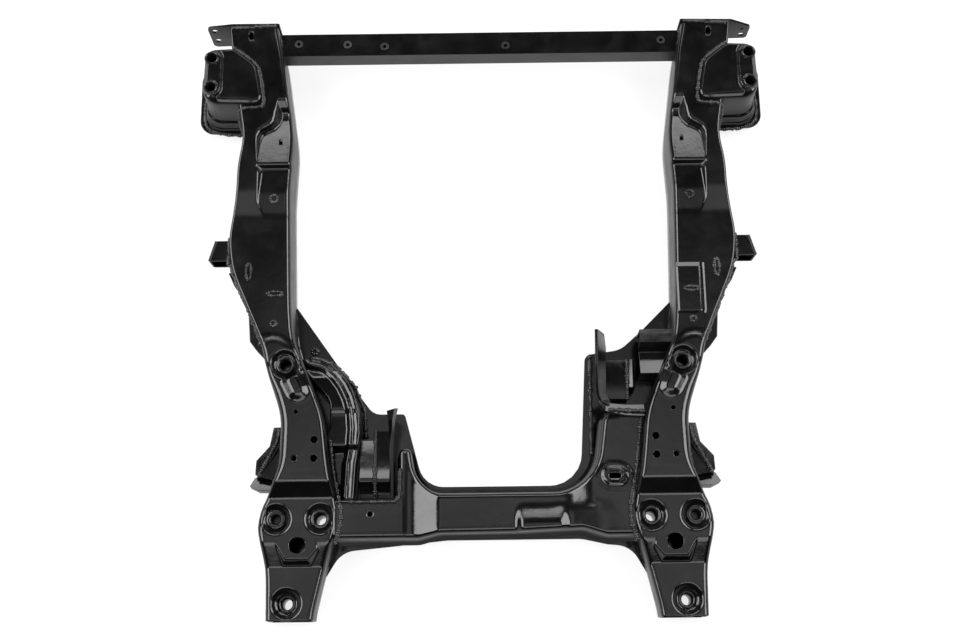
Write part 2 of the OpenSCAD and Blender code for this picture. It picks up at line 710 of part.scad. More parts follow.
module crossmember_upper() {
    seat_l = slot_l + 16;
    seat_w = slot_w + 16;
    color(paint) difference() {
        union() {
            difference() {
                upper_block(0);
                upper_block(sheet_t);
            }
            translate([0, 0, wing_h - slot_seat_d - sheet_t]) linear_extrude(slot_seat_d + sheet_t / 2)
                slot_shape(seat_l + 2 * sheet_t, seat_w + 2 * sheet_t);
        }
        translate([0, 0, lower_top - past]) linear_extrude(rail_h) rails_plan(0);
        translate([0, 0, wing_h - slot_seat_d]) linear_extrude(rail_h) slot_shape(seat_l, seat_w);
        translate([0, 0, cross_h / 2]) linear_extrude(rail_h) slot_shape(slot_l, slot_w);
        translate([-174, cross_y - 51, block_h - 2 * sheet_t]) cylinder(h = rail_h, d = 7);
    }
}

// Curved reinforcement between the left rail and the crossmember, ribbed along its inboard edge
seam_x = -172;
mount_w = 70;
mount_left = seam_x - mount_w / 2;
reinf_front = from_rear(404);
reinf_far = -rail_mid(mid_y) + 12;
reinf_edge = [
    for (p = rounded([[reinf_far, reinf_front, 0], [-270, from_rear(410), 30],
        [mount_left, from_rear(345), 90], [mount_left, block_face, 0], [reinf_far, block_face, 0]], 10))
        if (p[0] > reinf_far) p
];
reinf_ribs = [[6, 13], [19, 26]];
module reinf_plan(d) {
    polygon(concat(beside(reinf_edge, -d), [[reinf_far, block_face], [reinf_far, reinf_front]]));
}
module left_reinforcement() {
    lens = rounded([
        [-290, from_rear(404), 0], [-268, from_rear(394), 30], [-246, from_rear(352), 40],
        [-249, from_rear(318), 0], [-300, from_rear(318), 0], [-320, from_rear(404), 0]
    ]);
    color(paint) difference() {
        union() {
            translate([0, 0, lower_top]) linear_extrude(reinf_h - lower_top) reinf_plan(0);
            for (r = reinf_ribs) translate([0, 0, lower_top]) linear_extrude(reinf_h + rib_h - lower_top)
                polygon(concat(beside(reinf_edge, -r[0]), flipped(beside(reinf_edge, -r[1]))));
        }
        linear_extrude(reinf_h - sheet_t) reinf_plan(sheet_t);
        linear_extrude(2 * rail_h) {
            polygon(lens);
            mirror([1, 0]) rail_plan(0);
        }
    }
}

// Engine mount bracket in two halves: side walls and a humped saddle that meet in a seam
saddle_line = rounded([
    [block_face, 46, 0], [block_face + 20, 50, 20], [block_face + 44, 60, 24], [block_face + 92, 46, 30],
    [block_face + 108, 20, 0], [block_face + 40, lower_top, 0]
]);
saddle = [for (i = [0:len(saddle_line) - 2]) saddle_line[i]];
module along_x(x0, x1) {
    translate([x0, 0, 0]) rotate([90, 0, 90]) linear_extrude(x1 - x0) children();
}
module saddle_sheet() {
    polygon(concat(saddle, flipped(beside(saddle, -plate_t))));
}
module left_mount_inner() {
    wall = [
        [block_face, lower_top, 0], [block_face + 106, lower_top, 0], [block_face + 100, 48, 12],
        [block_face + 50, reinf_h + 8, 20], [block_face, reinf_h - 4, 0]
    ];
    color(paint) {
        along_x(mount_left, mount_left + plate_t) polygon(rounded(wall));
        along_x(mount_left + plate_t, seam_x) saddle_sheet();
    }
}
module left_mount_outer() {
    far = mount_left + mount_w;
    wall = [
        [block_face, lower_top, 0], [block_face + 136, lower_top, 0], [block_face + 128, 60, 8],
        [block_face + 116, 92, 8], [block_face + 60, 74, 30], [block_face, block_h - 4, 0]
    ];
    color(paint) {
        along_x(seam_x, far - plate_t) saddle_sheet();
        along_x(far - plate_t, far) polygon(rounded(wall));
    }
}

// Upright plate for the torque rod: runs along the right arm and turns outboard across its front
torque_x = 178;
torque_end = from_rear(432);
torque_flange = 10;
torque_bend = 14;
torque_far = torque_x + 82;
torque_path = [
    for (p = rounded([[torque_x, torque_end, 0], [torque_x, arm_front, torque_bend],
        [torque_far, arm_front, 0], [torque_far, torque_end, 0]]))
        if (p[0] < torque_far || p[1] < torque_end) p
];
torque_line = rounded([
    [torque_end, torque_h, 8], [torque_end - 16, torque_h, 12], [torque_end - 62, torque_h - 28, 40],
    [arm_front, wing_h + 4, 0], [arm_front, lower_top, 0], [torque_end, lower_top, 0]
]);
module torque_band(w) {
    polygon(concat(torque_path, flipped(beside(torque_path, w))));
}
module right_torque_plate() {
    color(paint) intersection() {
        union() {
            translate([0, 0, lower_top]) linear_extrude(torque_h) torque_band(plate_t);
            difference() {
                linear_extrude(2 * torque_h) torque_band(torque_flange);
                along_x(torque_x - past, rail_mid(torque_end))
                    polygon([for (p = torque_line) p - [0, plate_t]]);
            }
        }
        along_x(torque_x - past, rail_mid(torque_end)) polygon(torque_line);
        linear_extrude(2 * torque_h) difference() {
            translate([torque_x, arm_front]) square([200, torque_end - arm_front]);
            rail_plan(0);
        }
    }
}

// Open tray between the torque plate and the rail
box_w = 48;
box_l = 82;
box_floor = 30;
box_rim = 52;
module right_mount_box() {
    x0 = torque_x + plate_t;
    y0 = arm_front + plate_t;
    x1 = x0 + box_w;
    y1 = y0 + box_l;
    outline = [[x0, y0, torque_bend], [x1, y0, 0], [x1, y1, 0], [x0, y1, 0]];
    color(paint) difference() {
        translate([0, 0, lower_top]) linear_extrude(box_rim - lower_top) polygon(rounded(outline));
        translate([0, 0, box_floor]) linear_extrude(box_rim) polygon(inset(rounded(outline), sheet_t));
        linear_extrude(box_floor - sheet_t) polygon(inset(rounded(outline), sheet_t));
    }
}

// Two-tier folded bracket that bridges from the lower sheet to the right rail
step_in = 246;
step_out = 330;
module right_step_bracket() {
    y0 = from_rear(374);
    y1 = from_rear(442);
    low = step_h - step_drop;
    fold = [
        [y0, lower_top, 0], [y1, lower_top, 0], [y1, step_h, 3], [y1 - 25, step_h, 3],
        [y1 - 29, low, 3], [y0, low, 3]
    ];
    shell = rounded(fold);
    color(paint) difference() {
        along_x(step_in, step_out) difference() {
            polygon(shell);
            polygon([for (p = inset(shell, sheet_t)) p - [0, p[1] < low / 2 ? sheet_t + past : 0]]);
        }
        rail_block(2 * rail_h);
    }
}

// Raised doubler pad on the right rail
module right_rail_pad() {
    y0 = from_front(504);
    y1 = from_front(426);
    outline = [[313, y0, 4], [351, y0, 4], [351, y1, 4], [313, y1, 4]];
    color(paint) translate([0, 0, rail_h]) linear_extrude(pad_h) polygon(rounded(outline));
}

left_rail_upper();
right_rail_upper();
left_rail_lower();
right_rail_lower();
front_tube();
tube_rivet_nuts();
left_end_plate();
right_end_plate();
left_cup();
right_cup();
left_cup_base();
right_cup_base();
left_cup_collars();
right_cup_collars();
left_stub();
right_stub();
left_mid_sleeve();
right_mid_sleeve();
left_rear_sleeve();
right_rear_sleeve();
left_arm_collar();
right_arm_collar();
left_arm_nut();
right_arm_nut();
left_arm_bracket();
right_arm_bracket();
left_gusset();
right_gusset();
left_weld_nut();
right_weld_nut();
crossmember_upper();
crossmember_lower();
left_reinforcement();
left_mount_inner();
left_mount_outer();
right_torque_plate();
right_mount_box();
right_step_bracket();
right_rail_pad();
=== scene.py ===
"""Looks of a welded front subframe: painted pressings, turned collars, nuts and weld beads."""
import logging
import math
from dataclasses import dataclass
from enum import Enum
from typing import Any, Optional, Sequence

import bmesh
import bpy
import numpy as np
from mathutils import Matrix, Vector
from mathutils.geometry import delaunay_2d_cdt


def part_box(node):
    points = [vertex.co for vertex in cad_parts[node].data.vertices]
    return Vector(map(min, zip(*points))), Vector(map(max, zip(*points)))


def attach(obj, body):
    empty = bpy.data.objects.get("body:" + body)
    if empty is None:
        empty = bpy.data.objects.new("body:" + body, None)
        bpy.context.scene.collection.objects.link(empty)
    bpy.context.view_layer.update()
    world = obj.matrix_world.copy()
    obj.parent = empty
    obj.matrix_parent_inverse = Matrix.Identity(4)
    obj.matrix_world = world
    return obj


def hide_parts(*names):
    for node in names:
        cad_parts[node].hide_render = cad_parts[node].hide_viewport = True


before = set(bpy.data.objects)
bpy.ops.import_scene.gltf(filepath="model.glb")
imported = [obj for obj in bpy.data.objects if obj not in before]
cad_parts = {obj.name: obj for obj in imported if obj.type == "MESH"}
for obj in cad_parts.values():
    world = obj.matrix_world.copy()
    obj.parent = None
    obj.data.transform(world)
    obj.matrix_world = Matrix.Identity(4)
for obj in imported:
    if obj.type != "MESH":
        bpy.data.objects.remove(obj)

LOG = logging.getLogger("subframe")
MM = 0.001
# Points that lie closer than this, in metres, are merged.
MERGE = 1e-6
BODY = "root"
Point = tuple[float, float, float]
Line = tuple[Point, ...]


class Side(Enum):
    """Side of the car, by the sign of its x."""

    LEFT = -1
    RIGHT = 1

    @property
    def word(self) -> str:
        """First word of the names of the pieces on this side."""
        return self.name.lower()


class Slot(Enum):
    """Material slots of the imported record."""

    PAINT = "black_paint"
    COLLAR = "collar_paint"
    NUT = "nut_steel"


class Term:
    """A shader value that takes part in Python sums."""

    def __init__(self, graph: "Graph", socket: bpy.types.NodeSocket) -> None:
        """Keeps the socket and the graph that new nodes go into."""
        self.graph = graph
        self.socket = socket

    def _math(self, operation: str, first: Any, second: Any) -> "Term":
        """Adds one Math node.

        Args:
            operation: Blender's name of the operation.
            first: the first operand, a term or a number.
            second: the second operand, a term or a number.

        Returns:
            The result as a new term.
        """
        node = self.graph.add("ShaderNodeMath", {"operation": operation}, {0: first, 1: second})
        return Term(self.graph, node.outputs[0])

    def __add__(self, other: Any) -> "Term":
        """Sum."""
        return self._math("ADD", self, other)

    __radd__ = __add__

    def __mul__(self, other: Any) -> "Term":
        """Product."""
        return self._math("MULTIPLY", self, other)

    __rmul__ = __mul__

    def most(self, other: Any) -> "Term":
        """The larger of the two."""
        return self._math("MAXIMUM", self, other)


class Graph:
    """Builder of one node tree."""

    def __init__(self, tree: bpy.types.NodeTree) -> None:
        """Empties the tree."""
        self.tree = tree
        tree.nodes.clear()

    def add(self, kind: str, settings: dict[str, Any], inputs: dict[Any, Any]) -> bpy.types.Node:
        """Adds one node of any type.

        Args:
            kind: Blender's type name of the node.
            settings: properties of the node; "stops" gives a ramp's positions and colours.
            inputs: values or links by the sockets' names or numbers.

        Returns:
            The new node.
        """
        node = self.tree.nodes.new(kind)
        for name, value in settings.items():
            if name == "stops":
                self._stops(node, value)
            else:
                setattr(node, name, value)
        for name, value in inputs.items():
            if isinstance(value, Term):
                self.tree.links.new(value.socket, node.inputs[name])
            elif isinstance(value, bpy.types.NodeSocket):
                self.tree.links.new(value, node.inputs[name])
            else:
                node.inputs[name].default_value = value
        return node

    @staticmethod
    def _stops(node: bpy.types.Node, stops: Sequence[tuple[float, float]]) -> None:
        """Sets the positions and grey values of a colour ramp.

        Args:
            node: the ramp's node.
            stops: position and grey of each stop.
        """
        ramp = node.color_ramp
        while len(ramp.elements) < len(stops):
            ramp.elements.new(0.5)
        for element, (place, grey) in zip(ramp.elements, stops):
            element.position = place
            element.color = (grey, grey, grey, 1.0)

    def noise(self, scale: float, detail: float, where: Any) -> Term:
        """Noise pattern between 0 and 1.

        Args:
            scale: waves in a metre.
            detail: octaves.
            where: socket of the coordinates.

        Returns:
            The pattern.
        """
        node = self.add("ShaderNodeTexNoise", {}, {"Vector": where, "Scale": scale, "Detail": detail})
        return Term(self, node.outputs[0])

    def ramp(self, value: Term, stops: Sequence[tuple[float, float]]) -> Term:
        """Value sent through a grey ramp."""
        node = self.add("ShaderNodeValToRGB", {"stops": stops}, {0: value})
        return Term(self, node.outputs[0])

    def mixed(self, share: Term, low: Sequence[float], high: Sequence[float]) -> bpy.types.NodeSocket:
        """Colour between two colours.

        Args:
            share: 0 gives low and 1 gives high.
            low: first colour.
            high: second colour.

        Returns:
            The colour's socket.
        """
        node = self.add("ShaderNodeMix", {"data_type": "RGBA"}, {0: share, 6: (*low, 1.0), 7: (*high, 1.0)})
        return node.outputs[2]


@dataclass(frozen=True)
class Finish:
    """A finish of the object, made as a procedural material.

    gloss and matt are the ends of the roughness, peel is the depth of the paint's skin in
    millimetres, and dull_wall is what upright faces add to the roughness.
    """

    name: str
    dark: tuple[float, float, float]
    pale: tuple[float, float, float]
    gloss: float
    matt: float
    peel: float
    peel_scale: float
    metal: float = 0.0
    index: float = 1.45
    dull_wall: float = 0.0
    cloud_scale: float = 9.0
    speck_scale: float = 1400.0
    smear_scale: float = 38.0
    wave_share: float = 0.22

    def material(self) -> bpy.types.Material:
        """Material with mottled colour, uneven gloss and the skin of sprayed paint.

        Returns:
            The material, made on the first call.
        """
        made = bpy.data.materials.get(self.name)
        if made:
            return made
        made = bpy.data.materials.new(self.name)
        made.use_nodes = True
        graph = Graph(made.node_tree)
        where = graph.add("ShaderNodeTexCoord", {}, {}).outputs["Object"]
        cloud = graph.noise(self.cloud_scale, 4.0, where)
        speck = graph.ramp(graph.noise(self.speck_scale, 1.0, where), [(0.70, 0.0), (0.78, 1.0)])
        smear = graph.ramp(graph.noise(self.smear_scale, 5.0, where), [(0.35, 0.0), (0.75, 1.0)])
        dust = graph.ramp(cloud, [(0.40, 0.0), (0.70, 1.0)])
        colour = graph.mixed(dust * 0.7 + speck * dust * 0.3, self.dark, self.pale)
        facing = graph.add("ShaderNodeNewGeometry", {}, {}).outputs["Normal"]
        lift = Term(graph, graph.add("ShaderNodeSeparateXYZ", {}, {0: facing}).outputs["Z"])
        upright = graph.ramp(lift * lift, [(0.02, 1.0), (0.20, 0.0)])
        rough = smear * (self.matt - self.gloss) + self.gloss + upright * self.dull_wall
        waves = graph.noise(self.peel_scale * self.wave_share, 2.0, where)
        skin = graph.noise(self.peel_scale, 2.0, where) + waves * 2.0
        bump = graph.add(
            "ShaderNodeBump", {}, {"Strength": 1.0, "Distance": self.peel * MM, "Height": skin}
        )
        shader = graph.add(
            "ShaderNodeBsdfPrincipled",
            {},
            {
                "Base Color": colour,
                "Roughness": rough,
                "Metallic": self.metal,
                "IOR": self.index,
                "Normal": bump.outputs[0],
            },
        )
        graph.add("ShaderNodeOutputMaterial", {}, {"Surface": shader.outputs[0]})
        return made


SATIN_BLACK = Finish(
    "satin_black_dip",
    dark=(0.0012, 0.0012, 0.0014),
    pale=(0.004, 0.004, 0.004),
    gloss=0.11,
    matt=0.20,
    peel=0.05,
    peel_scale=420.0,
    dull_wall=0.27,
)
COLLAR_BLACK = Finish(
    "collar_black_dip",
    dark=(0.003, 0.003, 0.0034),
    pale=(0.009, 0.009, 0.009),
    gloss=0.14,
    matt=0.25,
    peel=0.03,
    peel_scale=700.0,
)
WELD_BLACK = Finish(
    "weld_black_dip",
    dark=(0.004, 0.004, 0.004),
    pale=(0.03, 0.03, 0.03),
    gloss=0.12,
    matt=0.28,
    peel=0.10,
    peel_scale=600.0,
)
NUT_STEEL = Finish(
    "dark_nut_steel",
    dark=(0.02, 0.02, 0.021),
    pale=(0.05, 0.05, 0.05),
    gloss=0.22,
    matt=0.4,
    peel=0.03,
    peel_scale=900.0,
    metal=0.6,
)


def mesh_object(name: str, points: np.ndarray, faces: Sequence[Sequence[int]]) -> bpy.types.Object:
    """New object from points in millimetres.

    Args:
        name: the piece's name.
        points: rows of x, y, z in millimetres.
        faces: corner numbers of each face.

    Returns:
        The object, linked to the scene.
    """
    mesh = bpy.data.meshes.new(name)
    mesh.from_pydata((np.asarray(points, dtype=float) * MM).tolist(), [], [list(f) for f in faces])
    mesh.update()
    piece = bpy.data.objects.new(name, mesh)
    bpy.context.scene.collection.objects.link(piece)
    return piece


def smooth_by_angle(mesh: bpy.types.Mesh, degrees: float) -> None:
    """Shades a mesh smooth, with its folds above an angle kept sharp."""
    mesh.shade_smooth()
    mesh.set_sharp_from_angle(angle=math.radians(degrees))


def handed(piece: bpy.types.Object, side: Side) -> None:
    """Mirrors a piece drawn for the right side when it belongs on the left.

    Args:
        piece: the piece.
        side: the side that it belongs on.
    """
    if side is Side.LEFT:
        piece.data.transform(Matrix.Scale(-1.0, 4, (1.0, 0.0, 0.0)))
        piece.data.flip_normals()


def thicken(piece: bpy.types.Object, sheet: float) -> None:
    """Gives a pressing its thickness towards the inside.

    Args:
        piece: the pressing, drawn by its outer face.
        sheet: the thickness in millimetres.
    """
    wall = piece.modifiers.new("sheet", "SOLIDIFY")
    wall.thickness = sheet * MM
    wall.offset = -1.0


def drop_loose(piece: bpy.types.Object) -> None:
    """Deletes the points that no face of a piece uses.

    Args:
        piece: the piece.
    """
    shape = bmesh.new()
    shape.from_mesh(piece.data)
    bmesh.ops.delete(shape, geom=[v for v in shape.verts if not v.link_faces], context="VERTS")
    shape.to_mesh(piece.data)
    shape.free()


def place(piece: bpy.types.Object, finish: Finish, slot: Slot, nodes: Sequence[str]) -> bpy.types.Object:
    """Gives a finished piece its material and its body, and hides the nodes that it stands for.

    Args:
        piece: the piece, at the origin.
        finish: its finish.
        slot: slot of the record that the finish belongs to; not used.
        nodes: nodes of the frame that it replaces.

    Returns:
        The piece.
    """
    piece.data.materials.clear()
    piece.data.materials.append(finish.material())
    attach(piece, BODY)
    if nodes:
        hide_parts(*nodes)
    LOG.info("%s: %d faces", piece.name, len(piece.data.polygons))
    return piece


def eased_share(value: np.ndarray) -> np.ndarray:
    """Smooth step from 0 to 1."""
    share = np.clip(value, 0.0, 1.0)
    return share * share * (3.0 - 2.0 * share)


def ramp_share(value: np.ndarray) -> np.ndarray:
    """Straight ramp from 0 to 1 with slightly rounded ends."""
    shifts = (-0.2, -0.1, 0.0, 0.1, 0.2)
    return sum(np.clip(value + shift, 0.0, 1.0) for shift in shifts) / len(shifts)


def rolled_share(value: np.ndarray) -> np.ndarray:
    """Rise from 0 to 1 with a wide roll at its start and a crisp foot."""
    held = np.clip(value, 0.0, 1.0)
    return np.where(held < 0.5, held**2, held - 0.25) / 0.75


def capsule(x: np.ndarray, y: np.ndarray, centre: tuple[float, float], half: float) -> np.ndarray:
    """Distance from a short line across the car.

    Args:
        x: places across.
        y: places along.
        centre: middle of the line.
        half: half of its length.

    Returns:
        Distances in millimetres.
    """
    return np.hypot(np.maximum(np.abs(x - centre[0]) - half, 0.0), y - centre[1])


@dataclass(frozen=True)
class Track:
    """A line of values along the car, with its corners eased."""

    points: tuple[tuple[float, float], ...]
    ease: float

    def at(self, y: Any) -> np.ndarray:
        """Value of the line at y, in millimetres.

        Args:
            y: one place or many places along the car.

        Returns:
            The eased values.
        """
        rows = sorted(self.points)
        ys = [row[0] for row in rows]
        values = [row[1] for row in rows]
        where = np.asarray(y, dtype=float)
        total = 2.0 * np.interp(where, ys, values)
        for shift, weight in ((1.0, 1.0), (0.5, 2.0)):
            total = total + weight * np.interp(where + shift * self.ease, ys, values)
            total = total + weight * np.interp(where - shift * self.ease, ys, values)
        return total / 8.0


# Edges, bend, top, recess and step of the right rail: place along the car and value in millimetres,
# except for the recess, whose value is a share of its depth.
OUTER = Track(
    (
        (487, 419), (434, 412), (342, 398), (284, 388), (236, 397), (190, 397), (110, 408), (59, 401),
        (-1, 375), (-57, 350), (-97, 343), (-178, 316), (-264, 318), (-336, 353), (-411, 338), (-487, 336),
    ),
    22.0,
)
INNER = Track(
    (
        (487, 339), (434, 328), (342, 315), (284, 307), (190, 311), (59, 307), (-1, 305), (-57, 300),
        (-97, 282), (-178, 250), (-264, 240), (-336, 224), (-411, 248), (-487, 265),
    ),
    22.0,
)
OUTER_BEND = Track(
    ((487, 3.5), (-48, 3.5), (-75, 8), (-115, 8), (-140, 13), (-240, 13), (-285, 8), (-487, 8)), 6.0,
)
TOP = Track(
    (
        (487, 100), (322, 100), (190, 96), (151, 90), (-266, 90), (-281, 88.4), (-304, 70), (-371, 70),
        (-429, 46), (-487, 46),
    ),
    5.0,
)
RECESS = Track(
    ((349, 0), (337, 0.7), (329, 1.45), (318, 1.5), (236, 0.05), (230, 0.75), (145, 0)),
    2.0,
)
STEP = Track(((236, 365), (226, 360), (173, 362.5), (147, 352), (-97, 311)), 4.0)
# S-shaped front end of the step, as x and y.
S_STEP = (
    (334.0, 360.0), (334.0, 331.0), (335.0, 320.0), (338.0, 311.0), (344.0, 303.5), (354.0, 298.0),
    (361.0, 293.0), (364.5, 286.0), (365.5, 276.0), (365.0, 200.0),
)


@dataclass(frozen=True)
class Dish:
    """A round dish pressed into the rail's top around a mount."""

    x: float
    y: float
    radius: float = 24.0
    floor: float = 15.5
    depth: float = 7.0

    def drop(self, x: np.ndarray, y: np.ndarray) -> np.ndarray:
        """How far the dish lowers the sheet at each point."""
        away = np.hypot(x - self.x, y - self.y)
        return self.depth * ramp_share((self.radius - away) / (self.radius - self.floor))


@dataclass
class RailPressing:
    """The deep upper pressing of one rail, drawn for the right side."""

    side: Side
    bend: float = 8.0
    lip: float = 6.0
    sheet: float = 3.0
    recess: float = 10.0
    step_width: float = 10.5
    least_step: float = 0.3
    step_end: float = 231.0
    top_columns: int = 58
    bend_steps: int = 6
    wall_steps: int = 3
    stretches: tuple[tuple[float, float, float], ...] = (
        (-487.0, -290.0, 1.7), (-290.0, -60.0, 1.9), (-60.0, 140.0, 4.0), (140.0, 350.0, 1.9),
        (350.0, 483.0, 4.0),
    )
    dishes: tuple[Dish, ...] = (
        Dish(311.0, -97.0, radius=23.5), Dish(254.0, -336.0), Dish(322.0, -336.0), Dish(305.0, -462.0),
    )
    collar_hole: float = 13.8
    holes: tuple[tuple[float, float, float], ...] = (
        (263.0, -217.0, 5.5), (263.0, -246.0, 5.5), (294.0, -245.0, 5.5), (292.0, -173.0, 3.5),
        (288.0, -376.0, 12.5), (328.0, 276.0, 3.5), (381.0, 465.0, 4.5),
    )
    tongue_length: float = 46.0
    tongue_foot: float = 19.0
    tongue_top: float = 6.5
    tongue_height: float = 7.0
    tongue_turn: float = 27.0
    tongue_lap: float = 4.0
    tongue_start: float = 7.0
    nose: tuple[tuple[float, float], ...] = (
        (257.0, -350.0), (257.0, -382.0), (271.0, -398.0), (307.0, -398.0), (324.0, -371.0),
        (324.0, -350.0),
    )
    boss: tuple[float, float] = (331.0, -84.0)
    boss_radius: float = 38.0
    boss_lean: float = 17.0
    boss_rise: float = 3.2
    boss_fade: float = 28.0
    nose_top: float = 69.7
    nose_fall: float = 15.0
    nose_lean: float = 9.0
    nose_start: float = -350.0
    hole_snap: float = 1.35
    hole_lap: int = 3

    def rows(self) -> np.ndarray:
        """Places along the rail at which it is sectioned, finer where the sheet is worked.

        Returns:
            The places, from the rear to the front.
        """
        places: list[float] = []
        for start, end, step in self.stretches:
            count = max(1, round((end - start) / step))
            places.extend(np.linspace(start, end, count, endpoint=False).tolist())
        places.append(self.stretches[-1][1])
        return np.array(places)

    def tongue(self, x: np.ndarray, y: np.ndarray) -> np.ndarray:
        """Rise of the flat-topped tongue behind the middle mount.

        Args:
            x: places across, on the right side.
            y: places along.

        Returns:
            Rises in millimetres.
        """
        dish = self.dishes[0]
        turn = math.radians(self.tongue_turn)
        along = -(x - dish.x) * math.sin(turn) - (y - dish.y) * math.cos(turn)
        across = (x - dish.x) * math.cos(turn) - (y - dish.y) * math.sin(turn)
        away = np.hypot(across, np.maximum(along - self.tongue_length, 0.0))
        rise = ramp_share((self.tongue_foot - away) / (self.tongue_foot - self.tongue_top))
        start = eased_share((along - dish.radius + self.tongue_lap) / self.tongue_start)
        return self.tongue_height * rise * start

    def plateau(self, x: np.ndarray, y: np.ndarray) -> np.ndarray:
        """Height of the nose in which the seats of the control arm run out.

        Args:
            x: places across, on the right side.
            y: places along.

        Returns:
            Heights in millimetres.
        """
        away = np.full(x.shape, -1e3)
        count = len(self.nose)
        for k in range(count):
            ax, ay = self.nose[k]
            bx, by = self.nose[(k + 1) % count]
            length = math.hypot(bx - ax, by - ay)
            away = np.maximum(away, ((by - ay) * (x - ax) - (bx - ax) * (y - ay)) / length)
        return self.nose_top - self.nose_fall * ramp_share((away + 1.0) / self.nose_lean)

    @staticmethod
    def behind_step(x: np.ndarray, y: np.ndarray) -> np.ndarray:
        """Distance from the S-shaped step, positive on the side of the recess.

        Args:
            x: places across, on the right side.
            y: places along.

        Returns:
            Distances in millimetres.
        """
        best = np.full(x.shape, 1e6)
        signed = np.zeros(x.shape)
        for (ax, ay), (bx, by) in zip(S_STEP, S_STEP[1:]):
            dx, dy = bx - ax, by - ay
            length = math.hypot(dx, dy)
            t = np.clip(((x - ax) * dx + (y - ay) * dy) / length ** 2, 0.0, 1.0)
            away = np.hypot(x - ax - t * dx, y - ay - t * dy)
            side = np.where((y - ay) * dx - (x - ax) * dy < 0.0, 1.0, -1.0)
            signed = np.where(away < best, away * side, signed)
            best = np.minimum(best, away)
        return signed

    def height(self, x: np.ndarray, y: np.ndarray) -> np.ndarray:
        """Height of the top sheet.

        Args:
            x: places across, on the right side.
            y: places along.

        Returns:
            Heights in millimetres.
        """
        high = TOP.at(y)
        curved = y > self.step_end
        inward = np.where(curved, self.behind_step(x, y), STEP.at(y) - x)
        share = RECESS.at(y)
        width = self.step_width * np.maximum(share, self.least_step)
        across_step = inward / width + 0.5
        step = np.where(curved, rolled_share(across_step), ramp_share(across_step))
        sheet = high - self.recess * share * step
        sheet = np.where(y < self.nose_start, np.maximum(sheet, self.plateau(x, y)), sheet)
        away = np.hypot(x - self.boss[0], y - self.boss[1])
        boss = self.boss_rise * eased_share((self.boss_radius - away) / self.boss_lean)
        behind = eased_share((self.boss[1] - y) / self.boss_fade)
        sheet = sheet + boss * (1.0 - behind) + self.tongue(x, y)
        for dish in self.dishes:
            sheet = sheet - dish.drop(x, y)
        return sheet

    def grid(self) -> np.ndarray:
        """Points of the sheet, section by section, from the outboard lip to the inboard lip.

        Returns:
            The points by section, column and axis.
        """
        ys = self.rows()
        out, inn = OUTER.at(ys), INNER.at(ys)
        share = np.linspace(0.0, 1.0, self.top_columns + 1)[None, :]
        x = (out - OUTER_BEND.at(ys))[:, None] * (1.0 - share) + (inn + self.bend)[:, None] * share
        y = np.repeat(ys[:, None], x.shape[1], axis=1)
        top = np.stack([x, y, self.height(x, y)], axis=2)
        parts: list[np.ndarray] = []
        turns = np.linspace(0.0, math.pi / 2, self.bend_steps + 1)
        for sign, column, r in ((1.0, 0, OUTER_BEND.at(ys)), (-1.0, -1, np.full(len(ys), self.bend))):
            foot, crown = top[:, column, 0], top[:, column, 2]
            curve = [
                np.stack([foot + sign * r * math.cos(a), ys, crown - r + r * math.sin(a)], axis=1)
                for a in turns[:-1]
            ]
            wall = [
                np.stack(
                    [foot + sign * r, ys, self.lip + (crown - r - self.lip) * k / self.wall_steps], axis=1
                )
                for k in range(self.wall_steps)
            ]
            parts.append(np.stack(wall + curve, axis=1))
        return np.concatenate([parts[0], top, parts[1][:, ::-1]], axis=1)

    def cutters(self) -> list[tuple[float, float, float]]:
        """All round holes, as x, y and radius."""
        return [(d.x, d.y, self.collar_hole) for d in self.dishes] + list(self.holes)

    def build(self) -> bpy.types.Object:
        """Makes the pressing.

        Returns:
            The placed piece.
        """
        points = self.grid()
        rows, columns, _ = points.shape
        flat = points.reshape(-1, 3)
        edge = self.bend_steps + self.wall_steps
        column = np.tile(np.arange(columns), rows)
        on_top = (column >= edge - self.hole_lap) & (column < columns - edge + self.hole_lap)
        inside = np.zeros(len(flat), dtype=bool)
        for x, y, radius in self.cutters():
            away = np.hypot(flat[:, 0] - x, flat[:, 1] - y)
            near = on_top & (np.abs(away - radius) < self.hole_snap) & (away > 0.1)
            ring = (flat[near, :2] - (x, y)) / away[near, None] * radius + (x, y)
            flat[near, :2] = ring
            inside |= on_top & ~near & (away < radius)
        corner = np.arange(rows * columns).reshape(rows, columns)
        quads = np.stack(
            [corner[:-1, :-1], corner[:-1, 1:], corner[1:, 1:], corner[1:, :-1]], axis=2
        ).reshape(-1, 4)
        quads = quads[~inside[quads].any(axis=1)][:, ::-1]
        piece = mesh_object(f"{self.side.word}_rail_pressing", flat, quads)
        drop_loose(piece)
        handed(piece, self.side)
        piece.data.shade_smooth()
        thicken(piece, self.sheet)
        return place(piece, SATIN_BLACK, Slot.PAINT, [f"{self.side.word}_rail_upper"])


